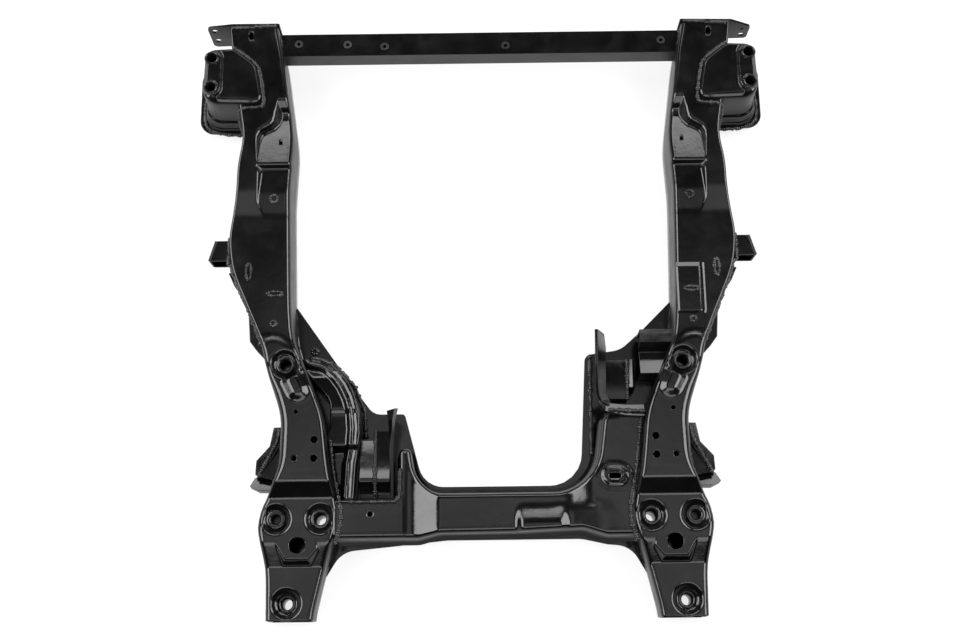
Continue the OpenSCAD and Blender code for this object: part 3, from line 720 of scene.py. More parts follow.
@dataclass
class SoftenedPart:
    """A folded or cut part whose edges are rounded as bending and shearing leave them."""

    node: str
    fold: float
    rim: float = 0.7
    finish: Finish = SATIN_BLACK
    slot: Slot = Slot.PAINT
    wide: float = 5.0
    sharp: float = 24.0
    sheet: float = 3.0
    level: float = 1.0
    segments: int = 3

    @staticmethod
    def _breadth(face: bmesh.types.BMFace) -> float:
        """Mean breadth of a face in millimetres."""
        return 2.0 * face.calc_area() / face.calc_perimeter() / MM

    def build(self) -> bpy.types.Object:
        """Copies the node, merges it and rounds its edges.

        Returns:
            The placed piece.
        """
        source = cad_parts[self.node]
        shape = bmesh.new()
        shape.from_mesh(source.data)
        shape.transform(source.matrix_world)
        bmesh.ops.remove_doubles(shape, verts=shape.verts, dist=MERGE)
        bmesh.ops.dissolve_limit(
            shape, angle_limit=math.radians(self.level), verts=shape.verts, edges=shape.edges
        )
        layer = shape.edges.layers.float.new("bevel_weight_edge")
        for edge in shape.edges:
            if len(edge.link_faces) != 2:
                continue
            turn = edge.calc_face_angle_signed(0.0)
            if abs(math.degrees(turn)) < self.sharp:
                continue
            broad = min(self._breadth(face) for face in edge.link_faces) > self.wide
            radius = self.rim
            if broad:
                radius = self.fold if turn > 0 else max(self.fold - self.sheet, self.rim)
            edge[layer] = min(1.0, radius / self.fold)
        mesh = bpy.data.meshes.new(f"{self.node}_softened")
        shape.to_mesh(mesh)
        shape.free()
        piece = bpy.data.objects.new(f"{self.node}_softened", mesh)
        bpy.context.scene.collection.objects.link(piece)
        mesh.shade_smooth()
        bevel = piece.modifiers.new("edges", "BEVEL")
        bevel.limit_method = "WEIGHT"
        bevel.width = self.fold * MM
        bevel.segments = self.segments
        bevel.use_clamp_overlap = True
        bevel.harden_normals = False
        normals = piece.modifiers.new("normals", "WEIGHTED_NORMAL")
        normals.keep_sharp = True
        return place(piece, self.finish, self.slot, [self.node])


@dataclass
class TurnedPart:
    """A turned collar or sleeve with broken edges and a countersunk mouth."""

    node: str
    centres: tuple[tuple[float, float], ...]
    outer: float
    bore: float
    blind: float = 0.0
    mouth: float = 2.5
    edge: float = 1.2
    drop: float = 0.3
    finish: Finish = COLLAR_BLACK
    slot: Slot = Slot.COLLAR
    steps: int = 56
    crease: float = 40.0

    def outline(self, low: float, high: float) -> list[tuple[float, float]]:
        """Half section as radius and height, from the bore's foot round to the outer foot.

        Args:
            low: height of the foot.
            high: height of the top.

        Returns:
            Radius and height of each corner.
        """
        foot = high - self.blind if self.blind else low
        bore, mouth, edge = self.bore, self.mouth, self.edge
        line = [(0.0, foot), (bore - 0.5, foot)] if self.blind else [(bore, low)]
        line += [(bore, foot + 0.6), (bore, high - mouth), (bore + mouth * 0.5, high - mouth * 0.4)]
        line += [(bore + mouth, high - 0.1), (bore + mouth + 0.4, high)]
        line += [(self.outer - edge, high), (self.outer - edge * 0.3, high - edge * self.drop)]
        line += [(self.outer, high - edge), (self.outer, low)]
        if self.blind:
            line.append((0.0, low))
        return line

    def build(self) -> bpy.types.Object:
        """Turns the outline about each centre.

        Returns:
            The placed piece.
        """
        low, high = (v.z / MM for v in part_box(self.node))
        line = self.outline(low, high)
        points: list[Point] = []
        faces: list[list[int]] = []
        count = len(line)
        for cx, cy in self.centres:
            base = len(points)
            for k in range(self.steps):
                turn = 2.0 * math.pi * k / self.steps
                points += [(cx + r * math.cos(turn), cy + r * math.sin(turn), z) for r, z in line]
            for k in range(self.steps):
                a, b = base + k * count, base + (k + 1) % self.steps * count
                last = count - 1 if self.blind else count
                for j in range(last):
                    n = (j + 1) % count
                    faces.append([a + j, b + j, b + n, a + n])
        piece = mesh_object(f"{self.node}_turned", np.array(points), faces)
        shape = bmesh.new()
        shape.from_mesh(piece.data)
        bmesh.ops.remove_doubles(shape, verts=shape.verts, dist=MERGE)
        bmesh.ops.recalc_face_normals(shape, faces=shape.faces)
        shape.to_mesh(piece.data)
        shape.free()
        smooth_by_angle(piece.data, self.crease)
        return place(piece, self.finish, self.slot, [self.node])


class NodeSum:
    """A Geometry Nodes tree that strews a small shape along lines or on points."""

    def __init__(self, name: str) -> None:
        """Makes the empty tree with its geometry sockets.

        Args:
            name: the tree's name.
        """
        self.tree = bpy.data.node_groups.new(name, "GeometryNodeTree")
        self.graph = Graph(self.tree)
        self.tree.interface.new_socket("Geometry", in_out="OUTPUT", socket_type="NodeSocketGeometry")
        self.tree.interface.new_socket("Geometry", in_out="INPUT", socket_type="NodeSocketGeometry")
        self.ways: dict[str, str] = {}
        self.start: Optional[bpy.types.Node] = None

    def size(self, name: str, kind: str, value: Any) -> None:
        """Adds a named input with its usual value.

        Args:
            name: the input's name.
            kind: Blender's type name of its socket.
            value: its usual value.
        """
        socket = self.tree.interface.new_socket(name, in_out="INPUT", socket_type=kind)
        socket.default_value = value
        self.ways[name] = socket.identifier

    def begin(self) -> bpy.types.Node:
        """Adds the node that brings the inputs in."""
        self.start = self.graph.add("NodeGroupInput", {}, {})
        return self.start

    def end(self, shape: bpy.types.NodeSocket) -> None:
        """Realises the instances, gives them their material and closes the tree.

        Args:
            shape: socket of the strewn instances.
        """
        real = self.graph.add("GeometryNodeRealizeInstances", {}, {0: shape})
        painted = self.graph.add(
            "GeometryNodeSetMaterial",
            {},
            {"Geometry": real.outputs[0], "Material": self.start.outputs["Finish"]},
        )
        self.graph.add("NodeGroupOutput", {}, {0: painted.outputs[0]})

    def grow(self, carrier: bpy.types.Object, sizes: dict[str, Any]) -> None:
        """Runs the tree on an object and keeps the result as its plain mesh.

        Args:
            carrier: object whose mesh holds the lines or points.
            sizes: values of the named inputs.
        """
        modifier = carrier.modifiers.new("grown", "NODES")
        modifier.node_group = self.tree
        for name, value in sizes.items():
            modifier[self.ways[name]] = value
        ready = carrier.evaluated_get(bpy.context.evaluated_depsgraph_get())
        grown = bpy.data.meshes.new_from_object(ready)
        carrier.modifiers.remove(modifier)
        carrier.data = grown
        grown.shade_smooth()


@dataclass
class WeldBeads:
    """Rippled arc-weld beads along the seams of one part of the frame."""

    name: str
    seams: Sequence[Sequence[Point]]
    spacing: float = 3.6
    half_width: float = 4.0
    half_length: float = 3.0
    seed: int = 7
    least: Point = (0.55, 0.6, 0.7)
    most: Point = (1.25, 1.25, 1.4)

    def tree(self) -> NodeSum:
        """Tree that sets overlapping squashed drops along each line.

        Returns:
            The finished tree.
        """
        tree = NodeSum(f"{self.name}_tree")
        tree.size("Spacing", "NodeSocketFloat", self.spacing * MM)
        tree.size("Half width", "NodeSocketFloat", self.half_width * MM)
        tree.size("Half length", "NodeSocketFloat", self.half_length * MM)
        tree.size("Seed", "NodeSocketInt", self.seed)
        tree.size("Finish", "NodeSocketMaterial", None)
        start = tree.begin()
        add = tree.graph.add
        line = add("GeometryNodeMeshToCurve", {}, {0: start.outputs["Geometry"]})
        points = add(
            "GeometryNodeCurveToPoints",
            {"mode": "LENGTH"},
            {"Curve": line.outputs[0], "Length": start.outputs["Spacing"]},
        )
        drop = add("GeometryNodeMeshIcoSphere", {}, {"Radius": 1.0, "Subdivisions": 2})
        scale = add(
            "ShaderNodeCombineXYZ",
            {},
            {
                0: start.outputs["Half width"],
                1: start.outputs["Half width"],
                2: start.outputs["Half length"],
            },
        )
        wobble = add(
            "FunctionNodeRandomValue",
            {"data_type": "FLOAT_VECTOR"},
            {0: self.least, 1: self.most, "Seed": start.outputs["Seed"]},
        )
        uneven = add(
            "ShaderNodeVectorMath", {"operation": "MULTIPLY"}, {0: scale.outputs[0], 1: wobble.outputs[0]}
        )
        strewn = add(
            "GeometryNodeInstanceOnPoints",
            {},
            {
                "Points": points.outputs["Points"],
                "Instance": drop.outputs["Mesh"],
                "Rotation": points.outputs["Rotation"],
                "Scale": uneven.outputs[0],
            },
        )
        tree.end(strewn.outputs[0])
        return tree

    def build(self) -> bpy.types.Object:
        """Lays the beads.

        Returns:
            The placed piece.
        """
        points: list[Point] = []
        links: list[tuple[int, int]] = []
        for seam in self.seams:
            base = len(points)
            points.extend(seam)
            links.extend((base + k, base + k + 1) for k in range(len(seam) - 1))
        mesh = bpy.data.meshes.new(self.name)
        mesh.from_pydata((np.array(points, dtype=float) * MM).tolist(), links, [])
        piece = bpy.data.objects.new(self.name, mesh)
        bpy.context.scene.collection.objects.link(piece)
        sizes = {
            "Spacing": self.spacing * MM,
            "Half width": self.half_width * MM,
            "Half length": self.half_length * MM,
            "Seed": self.seed,
            "Finish": WELD_BLACK.material(),
        }
        self.tree().grow(piece, sizes)
        return place(piece, WELD_BLACK, Slot.PAINT, [])


def rounded_line(corners: Sequence[tuple[float, float, float]], steps: int) -> np.ndarray:
    """Even points along a closed outline with rounded corners.

    Args:
        corners: x, y and radius of each corner, anticlockwise from above.
        steps: number of points.

    Returns:
        Rows of x and y.
    """
    places = [np.array(c[:2]) for c in corners]
    line: list[np.ndarray] = []
    count = len(places)
    for k in range(count):
        before, here, after = places[k - 1], places[k], places[(k + 1) % count]
        u = (before - here) / np.linalg.norm(before - here)
        v = (after - here) / np.linalg.norm(after - here)
        half = math.acos(float(u @ v)) / 2.0
        radius = corners[k][2]
        middle = here + (u + v) / np.linalg.norm(u + v) * radius / math.sin(half)
        start = here + u * radius / math.tan(half) - middle
        end = here + v * radius / math.tan(half) - middle
        for t in np.linspace(0.0, 1.0, 9):
            way = start * (1.0 - t) + end * t
            line.append(middle + radius * way / np.linalg.norm(way))
    path = np.array(line + [line[0]])
    length = np.concatenate([[0.0], np.cumsum(np.linalg.norm(np.diff(path, axis=0), axis=1))])
    even = np.linspace(0.0, length[-1], steps, endpoint=False)
    return np.stack([np.interp(even, length, path[:, k]) for k in (0, 1)], axis=1)


def outward_of(line: np.ndarray) -> np.ndarray:
    """Directions that point out of a closed line drawn anticlockwise.

    Args:
        line: rows of x and y.

    Returns:
        One unit direction for each row.
    """
    ahead = np.roll(line, -1, axis=0) - np.roll(line, 1, axis=0)
    out = np.stack([ahead[:, 1], -ahead[:, 0]], axis=1)
    return out / np.linalg.norm(out, axis=1)[:, None]


def within(line: np.ndarray, x: np.ndarray, y: np.ndarray) -> np.ndarray:
    """Whether each point lies inside a closed line.

    Args:
        line: rows of x and y.
        x: places across.
        y: places along.

    Returns:
        True for the points inside.
    """
    inside = np.zeros(x.shape, dtype=bool)
    for (ax, ay), (bx, by) in zip(line, np.roll(line, -1, axis=0)):
        crosses = (ay > y) != (by > y)
        edge = ax + (y - ay) * (bx - ax) / ((by - ay) if by != ay else 1e-9)
        inside ^= crosses & (x < edge)
    return inside


def off_line(line: np.ndarray, x: np.ndarray, y: np.ndarray) -> np.ndarray:
    """Distance of each point from a line of points.

    Args:
        line: rows of x and y.
        x: places across.
        y: places along.

    Returns:
        Distances in millimetres.
    """
    best = np.full(x.shape, 1e6)
    for px, py in line:
        best = np.minimum(best, np.hypot(x - px, y - py))
    return best


@dataclass
class PressedPan:
    """A pressed panel: a worked top with rounded edges and walls that go down to its foot."""

    name: str
    node: str
    outline: tuple[tuple[float, float, float], ...]
    fillet: float
    foot: float
    steps: int = 260
    cell: float = 4.0
    sheet: float = 3.0
    holes: tuple[tuple[float, float, float, float], ...] = ()
    flange: float = 0.0
    hole_steps: int = 32
    fillet_steps: int = 5
    rim_clear: float = 0.6
    hole_clear: float = 0.4

    def height(self, x: np.ndarray, y: np.ndarray) -> np.ndarray:
        """Height of the panel's top at each point."""
        raise NotImplementedError

    def lean(self, rim: np.ndarray) -> np.ndarray:
        """How far the wall leans in at each point of the rim."""
        return np.zeros(len(rim))

    def _loops(self, inner: np.ndarray) -> tuple[list[Vector], list[tuple[int, int]]]:
        """Points of the top: its rim, the rims of its holes and a grid between them.

        Args:
            inner: line on which the top meets its rounded edge.

        Returns:
            The points and the edges that the triangles keep to.
        """
        points = [Vector(q) for q in inner]
        edges = [(k, (k + 1) % len(inner)) for k in range(len(inner))]
        low, high = inner.min(axis=0), inner.max(axis=0)
        gx, gy = np.meshgrid(
            np.arange(low[0], high[0], self.cell), np.arange(low[1], high[1], self.cell)
        )
        gx, gy = gx.ravel(), gy.ravel()
        keep = within(inner, gx, gy) & (off_line(inner, gx, gy) > self.cell * self.rim_clear)
        for x, y, radius, half in self.holes:
            base = len(points)
            for turn in np.linspace(0.0, 2.0 * math.pi, self.hole_steps, endpoint=False):
                shift = half if math.cos(turn) >= 0.0 else -half
                points.append(Vector((x + shift + radius * math.cos(turn), y + radius * math.sin(turn))))
            edges += [(base + k, base + (k + 1) % self.hole_steps) for k in range(self.hole_steps)]
            keep &= capsule(gx, gy, (x, y), half) > radius + self.cell * self.hole_clear
        points += [Vector((float(a), float(b))) for a, b in zip(gx[keep], gy[keep])]
        return points, edges

    def build(self) -> bpy.types.Object:
        """Makes the panel.

        Returns:
            The placed piece.
        """
        rim = rounded_line(self.outline, self.steps)
        out = outward_of(rim)
        inner = rim - out * (self.fillet + self.lean(rim))[:, None]
        points, edges = self._loops(inner)
        border = [list(range(self.steps))]
        found, _, triangles, origin, _, _ = delaunay_2d_cdt(points, edges, border, 1, 1e-4)
        flat = np.array([(v.x, v.y) for v in found])
        top = np.column_stack([flat, self.height(flat[:, 0], flat[:, 1])])
        centre = np.array([flat[list(t)].mean(axis=0) for t in triangles])
        solid = np.ones(len(triangles), dtype=bool)
        for x, y, radius, half in self.holes:
            solid &= capsule(centre[:, 0], centre[:, 1], (x, y), half) > radius
        faces = [list(t) for t, kept in zip(triangles, solid) if kept]
        place_of = {first: k for k, sources in enumerate(origin) for first in sources}
        ring = [place_of[k] for k in range(self.steps)]
        rows = [top]
        crown = top[ring, 2]
        for turn in np.linspace(0.0, math.pi / 2, self.fillet_steps + 1)[1:]:
            flat_ring = inner + out * self.fillet * math.sin(turn)
            rows.append(np.column_stack([flat_ring, crown - self.fillet * (1.0 - math.cos(turn))]))
        rows.append(np.column_stack([rim, np.full(self.steps, self.foot)]))
        if self.flange:
            rows.append(np.column_stack([rim + out * self.flange, np.full(self.steps, self.foot)]))
        base = len(top)
        for _ in rows[1:]:
            fresh = list(range(base, base + self.steps))
            for k in range(self.steps):
                n = (k + 1) % self.steps
                faces.append([ring[k], fresh[k], fresh[n], ring[n]])
            ring = fresh
            base += self.steps
        piece = mesh_object(self.name, np.concatenate(rows), faces)
        drop_loose(piece)
        shape = bmesh.new()
        shape.from_mesh(piece.data)
        bmesh.ops.recalc_face_normals(shape, faces=shape.faces)
        if sum(face.normal.z * face.calc_area() for face in shape.faces) < 0.0:
            bmesh.ops.reverse_faces(shape, faces=shape.faces)
        shape.to_mesh(piece.data)
        shape.free()
        piece.data.shade_smooth()
        thicken(piece, self.sheet)
        return place(piece, SATIN_BLACK, Slot.PAINT, [self.node])


# Height of the crossmember's top from left to right.
CROSS_PROFILE = Track(
    ((-300, 68), (-127, 68), (-123, 66), (-113, 65.4), (-73, 50.5), (300, 50.5)), 2.0,
)


@dataclass
class CrossmemberPressing(PressedPan):
    """Upper pressing of the crossmember, with its raised left block and its right arm."""

    name: str = "crossmember_pressing"
    node: str = "crossmember_upper"
    outline: tuple[tuple[float, float, float], ...] = (
        (-238.0, -305.0, 9.0), (-238.0, -367.0, 9.0), (-104.0, -367.0, 24.0), (-72.0, -358.0, 30.0),
        (60.0, -357.0, 60.0), (150.0, -353.0, 30.0), (186.0, -365.0, 24.0), (240.0, -365.0, 9.0),
        (257.0, -171.0, 9.0), (182.0, -171.0, 18.0), (165.0, -291.0, 66.0), (-106.0, -291.0, 46.0),
        (-116.0, -228.0, 8.0), (-134.0, -228.0, 8.0), (-134.0, -305.0, 9.0),
    )
    fillet: float = 7.5
    foot: float = 12.0
    steps: int = 520
    holes: tuple[tuple[float, float, float, float], ...] = (
        (201.0, -274.0, 4.5, 5.0), (-178.0, -330.0, 3.5, 0.0),
    )
    flange: float = 5.0
    arm: float = 64.0
    middle: float = 50.5
    arm_edge: float = -326.0
    arm_blend: float = 14.0
    front_slope: tuple[float, float] = (126.0, 38.0)
    rear_slope: tuple[float, float] = (112.0, 76.0)
    wall_lean: float = 5.5
    lean_start: tuple[float, float] = (-112.0, 36.0)
    lean_end: tuple[float, float] = (228.0, 30.0)
    lean_rear: float = -325.0
    swell: tuple[float, float] = (46.0, 130.0)
    swell_rise: float = 9.5
    swell_flanks: tuple[float, float] = (10.0, 14.0)
    swell_front: float = -316.0
    swell_run: float = 27.0
    seat: tuple[float, float] = (201.0, -274.0)
    seat_half: float = 6.0
    seat_rim: tuple[float, float, float] = (21.0, 4.0, 1.6)
    seat_floor: tuple[float, float, float] = (16.0, 6.0, -5.0)
    seat_collar: tuple[float, float, float] = (9.0, 3.0, 2.2)

    def lean(self, rim: np.ndarray) -> np.ndarray:
        """The wall leans along the saddle and the arm, and stands upright elsewhere.

        Args:
            rim: rows of x and y along the rim.

        Returns:
            How far the wall leans in at each row.
        """
        (start, start_run), (end, end_run) = self.lean_start, self.lean_end
        share = ramp_share((rim[:, 0] - start) / start_run) * ramp_share((end - rim[:, 0]) / end_run)
        return self.wall_lean * share * (rim[:, 1] > self.lean_rear)

    def height(self, x: np.ndarray, y: np.ndarray) -> np.ndarray:
        """Height of the worked top: left block and slope, saddle, right arm and its slotted seat.

        Args:
            x: places across.
            y: places along.

        Returns:
            Heights in millimetres.
        """
        top = CROSS_PROFILE.at(x)
        ahead = ramp_share((y - self.arm_edge) / self.arm_blend)
        front = ramp_share((x - self.front_slope[0]) / self.front_slope[1])
        rear = ramp_share((x - self.rear_slope[0]) / self.rear_slope[1])
        top = top + (self.arm - self.middle) * (ahead * front + (1.0 - ahead) * rear)
        start, end = self.swell
        left, right = self.swell_flanks
        window = ramp_share((x - start) / left) * ramp_share((end - x) / right)
        top = top + self.swell_rise * ramp_share((self.swell_front - y) / self.swell_run) * window
        away = capsule(x, y, self.seat, self.seat_half)
        for reach, flank, rise in (self.seat_rim, self.seat_floor, self.seat_collar):
            top = top + rise * ramp_share((reach - away) / flank)
        return top


def dense(points: Sequence[tuple[float, float]], step: float) -> np.ndarray:
    """Even points along an open line.

    Args:
        points: its corners.
        step: distance between the points.

    Returns:
        Rows of x and y.
    """
    path = np.array(points)
    length = np.concatenate([[0.0], np.cumsum(np.linalg.norm(np.diff(path, axis=0), axis=1))])
    even = np.linspace(0.0, length[-1], max(2, round(length[-1] / step)))
    return np.stack([np.interp(even, length, path[:, k]) for k in (0, 1)], axis=1)


# Free edge of the left closing panel, which its ribs follow, and the panel's height along the car.
RIB_LINE = (
    (-204.0, -306.0), (-201.0, -250.0), (-196.0, -222.0), (-194.5, -196.0), (-197.0, -166.0),
    (-204.0, -142.0), (-214.0, -121.0), (-228.0, -102.0), (-244.0, -87.0), (-258.0, -80.0),
    (-272.0, -77.0),
)
REINFORCEMENT_PROFILE = Track(
    ((-70, 44), (-92, 49), (-112, 58), (-164, 62), (-172, 59), (-222, 62), (-231, 49), (-310, 45)), 2.5,
)


@dataclass
class ReinforcementPressing(PressedPan):
    """Curved closing panel on the left, with two ribs along its free edge."""

    name: str = "left_reinforcement_pressing"
    node: str = "left_reinforcement"
    outline: tuple[tuple[float, float, float], ...] = (
        (-289.0, -82.0, 3.0), (-291.0, -94.0, 4.0), (-243.0, -150.0, 30.0), (-243.0, -190.0, 30.0),
        (-251.0, -215.0, 6.0), (-244.0, -306.0, 4.0), (-204.0, -306.0, 4.0), (-201.0, -250.0, 60.0),
        (-194.5, -205.0, 40.0), (-197.0, -164.0, 50.0), (-213.0, -121.0, 60.0), (-246.0, -84.0, 40.0),
        (-268.0, -77.0, 12.0),
    )
    fillet: float = 3.0
    foot: float = 11.0
    steps: int = 300
    cell: float = 2.2
    ribs: tuple[float, ...] = (4.5, 13.5)
    rib_half: float = 3.0
    rib_flank: float = 2.0
    rib_rise: float = 2.0
    band_reach: float = 21.0
    band_flank: float = 3.5
    band_rise: float = 3.0
    band_least: float = 54.0

    def height(self, x: np.ndarray, y: np.ndarray) -> np.ndarray:
        """Height of the panel: it climbs from the front, runs level and steps down behind.

        Args:
            x: places across.
            y: places along.

        Returns:
            Heights in millimetres.
        """
        base = REINFORCEMENT_PROFILE.at(y)
        away = off_line(dense(RIB_LINE, 1.5), x, y)
        rise = np.zeros(x.shape)
        for rib in self.ribs:
            rise = np.maximum(rise, ramp_share((self.rib_half - np.abs(away - rib)) / self.rib_flank))
        band = ramp_share((self.band_reach - away) / self.band_flank)
        crest = np.maximum(base, self.band_least) + self.band_rise
        return base + band * (crest - base) + self.rib_rise * rise


@dataclass
class FoldedSheet:
    """A bracket folded from flat sheet, drawn by the lines on which it is folded."""

    name: str
    nodes: tuple[str, ...]
    sheets: tuple[tuple[Line, ...], ...]
    sheet: float = 3.0
    fold: float = 2.0
    mirror: bool = False
    crease: float = 18.0
    segments: int = 3

    def build(self) -> bpy.types.Object:
        """Makes the bracket.

        Returns:
            The placed piece.
        """
        points: list[Point] = []
        faces: list[list[int]] = []
        for lines in self.sheets:
            base, count = len(points), len(lines[0])
            for line in lines:
                points.extend(line)
            for row in range(len(lines) - 1):
                for k in range(count - 1):
                    a = base + row * count + k
                    faces.append([a, a + 1, a + count + 1, a + count])
        spots = np.array(points, dtype=float)
        if self.mirror:
            spots[:, 0] *= -1.0
        piece = mesh_object(self.name, spots, faces)
        shape = bmesh.new()
        shape.from_mesh(piece.data)
        bmesh.ops.recalc_face_normals(shape, faces=shape.faces)
        loose = set(shape.faces)
        while loose:
            island = {loose.pop()}
            edge = list(island)
            while edge:
                near = {f for e in edge.pop().edges for f in e.link_faces} - island
                island |= near
                loose -= near
                edge.extend(near)
            if sum(f.normal.z * f.calc_area() for f in island) < 0.0:
                bmesh.ops.reverse_faces(shape, faces=list(island))
        shape.to_mesh(piece.data)
        shape.free()
        piece.data.shade_smooth()
        thicken(piece, self.sheet)
        round_edge = piece.modifiers.new("fold", "BEVEL")
        round_edge.width = self.fold * MM
        round_edge.segments = self.segments
        round_edge.limit_method = "ANGLE"
        round_edge.angle_limit = math.radians(self.crease)
        even = piece.modifiers.new("even", "WEIGHTED_NORMAL")
        even.keep_sharp = True
        return place(piece, SATIN_BLACK, Slot.PAINT, self.nodes)


def across(x0: float, x1: float, profile: Sequence[tuple[float, float]]) -> tuple[Line, ...]:
    """Fold lines that run straight across the car.

    Args:
        x0: left end.
        x1: right end.
        profile: place along the car and height of each fold.

    Returns:
        The lines, for a folded sheet.
    """
    return tuple(((x0, y, z), (x1, y, z)) for y, z in profile)


def along(places: Sequence[float], section: Sequence[tuple[float, float]]) -> tuple[Line, ...]:
    """Fold lines that run straight along the car.

    Args:
        places: ends along the car.
        section: place across the car and height of each fold.

    Returns:
        The lines, for a folded sheet.
    """
    return tuple(tuple((x, y, z) for y in places) for x, z in section)


def saddle(front: float) -> list[tuple[float, float]]:
    """Profile of one half of the left engine mount, from its front edge over the crest to the rear.

    Args:
        front: place of the front edge along the car.

    Returns:
        Place along the car and height of each fold.
    """
    return [
        (front, 14.0), (front - 2.0, 40.0), (-232.0, 47.5), (-256.0, 53.0), (-268.0, 58.0),
        (-274.0, 60.0), (-279.0, 59.0), (-286.0, 49.0), (-292.0, 40.0), (-297.0, 38.0), (-306.0, 37.0),
    ]


def pad_rows() -> tuple[Line, ...]:
    """Lines across the raised pad of the right rail, from its front to its rear.

    Returns:
        The lines, for a folded sheet.
    """
    foot, rise = 90.0, 4.8
    section = (
        (307.0, 0.3), (307.4, 0.72), (310.0, 1.0), (343.0, 1.0), (345.4, 0.78), (349.0, 0.22),
        (351.4, 0.04), (353.0, 0.0),
    )
    ends = ((62.0, 0.0), (61.6, 0.5), (55.0, 0.9), (53.0, 1.0), (-17.0, 1.0), (-19.0, 0.9), (-22.0, 0.0))
    return tuple(tuple((x, y, foot + rise * min(a, b)) for x, a in section) for y, b in ends)


# Fold lines of the brackets, in millimetres; those of both sides are drawn for the right side.
MOUNT_WALL: tuple[Line, ...] = (
    ((-149.0, -306.0, 44.0), (-149.0, -226.0, 58.0), (-150.0, -186.0, 76.0), (-152.0, -172.0, 84.0)),
    ((-146.0, -306.0, 66.0), (-146.0, -226.0, 72.0), (-143.0, -186.0, 84.0), (-140.0, -170.0, 90.0)),
    ((-142.0, -306.0, 66.0), (-142.0, -226.0, 72.0), (-138.5, -186.0, 84.0), (-134.0, -170.0, 90.0)),
    ((-150.0, -306.0, 14.0), (-150.0, -226.0, 14.0), (-148.0, -186.0, 14.0), (-146.0, -171.0, 14.0)),
)
STEP_PROFILE = (
    (-43.0, 30.0), (-43.0, 73.2), (-65.0, 78.0), (-67.0, 58.0), (-75.0, 50.0), (-112.0, 61.0),
    (-113.0, 14.0),
)
TORQUE_WALL: tuple[Line, ...] = (
    (
        (179.0, -49.0, 100.0), (178.0, -51.0, 107.0), (177.5, -57.0, 110.0), (177.5, -100.0, 99.0),
        (178.0, -130.0, 88.0), (179.0, -148.0, 79.0), (184.0, -158.0, 74.0), (196.0, -164.0, 71.0),
    ),
    (
        (192.0, -48.0, 66.0), (192.0, -51.0, 60.0), (192.5, -57.0, 56.0), (193.0, -100.0, 53.0),
        (193.0, -130.0, 52.0), (193.0, -144.0, 52.0), (197.0, -152.0, 52.0), (204.0, -158.0, 52.0),
    ),
    (
        (198.0, -49.0, 16.0), (198.0, -52.0, 15.0), (199.0, -58.0, 14.0), (199.0, -100.0, 14.0),
        (199.0, -130.0, 14.0), (199.0, -142.0, 14.0), (202.0, -148.0, 14.0), (207.0, -154.0, 14.0),
    ),
)
TORQUE_FLANGE: tuple[Line, ...] = (
    ((182.0, -151.0, 70.0), (190.0, -160.0, 67.5), (220.0, -163.0, 66.5), (250.0, -163.0, 66.5)),
    ((180.0, -159.0, 75.0), (188.0, -174.0, 73.0), (220.0, -181.0, 72.0), (250.0, -183.0, 72.0)),
    ((180.0, -160.0, 66.0), (195.0, -178.0, 66.0), (220.0, -182.0, 66.0), (250.0, -184.0, 66.0)),
)
TRAY_PROFILE = (
    (-85.0, 14.0), (-86.0, 42.0), (-122.0, 50.0), (-150.0, 48.0), (-155.0, 38.0), (-166.0, 37.0),
)
TRAY_SECTION = ((227.0, 47.0), (236.0, 51.5), (240.0, 40.0), (241.0, 14.0))
STUB_BOX: tuple[Line, ...] = (
    ((404.0, 77.0, 80.0), (438.0, 77.0, 80.0)),
    ((404.0, 111.0, 80.0), (428.0, 111.0, 80.0)),
    ((404.0, 111.0, 42.0), (428.0, 111.0, 42.0)),
    ((404.0, 78.0, 42.0), (437.0, 78.0, 42.0)),
)
STUB_END: tuple[Line, ...] = (
    ((438.0, 77.0, 80.0), (428.0, 111.0, 80.0)),
    ((437.0, 78.0, 42.0), (428.0, 111.0, 42.0)),
)
GUSSET: tuple[Line, ...] = (
    (
        (396.0, 77.0, 25.0), (393.0, 52.0, 25.0), (386.0, 35.0, 25.0), (374.0, 7.0, 25.0),
        (352.0, -43.0, 25.0), (347.0, -60.0, 25.0), (345.0, -76.0, 25.0),
    ),
    (
        (418.0, 74.0, 25.0), (408.0, 52.0, 25.0), (396.0, 35.0, 25.0), (383.0, 7.0, 25.0),
        (379.0, -43.0, 25.0), (367.0, -59.0, 25.0), (350.0, -77.0, 25.0),
    ),
)
ARM_FLANGE: tuple[Line, ...] = (
    ((312.0, -192.0, 64.0), (318.0, -218.0, 62.0), (334.0, -243.0, 57.0), (350.0, -264.0, 50.0)),
    ((330.0, -192.0, 62.0), (336.0, -221.0, 59.0), (357.0, -243.0, 54.5), (359.0, -264.0, 48.5)),
    ((331.0, -192.0, 18.0), (337.0, -221.0, 18.0), (358.0, -243.0, 18.0), (360.0, -264.0, 18.0)),
)
ARM_WEB: tuple[Line, ...] = (
    ((310.0, -205.0, 54.0), (310.0, -240.0, 54.0), (316.0, -276.0, 54.0)),
    ((320.0, -212.0, 54.0), (335.0, -241.0, 53.0), (352.0, -268.0, 51.0)),
)
ARM_FOOT: tuple[Line, ...] = (
    ((318.0, -268.0, 38.0), (352.0, -264.0, 37.0), (361.0, -267.0, 37.0)),
    ((326.0, -288.0, 45.0), (354.0, -288.0, 45.0), (368.0, -281.0, 43.0)),
    ((327.0, -289.0, 20.0), (354.0, -289.0, 20.0), (368.5, -282.0, 20.0)),
)


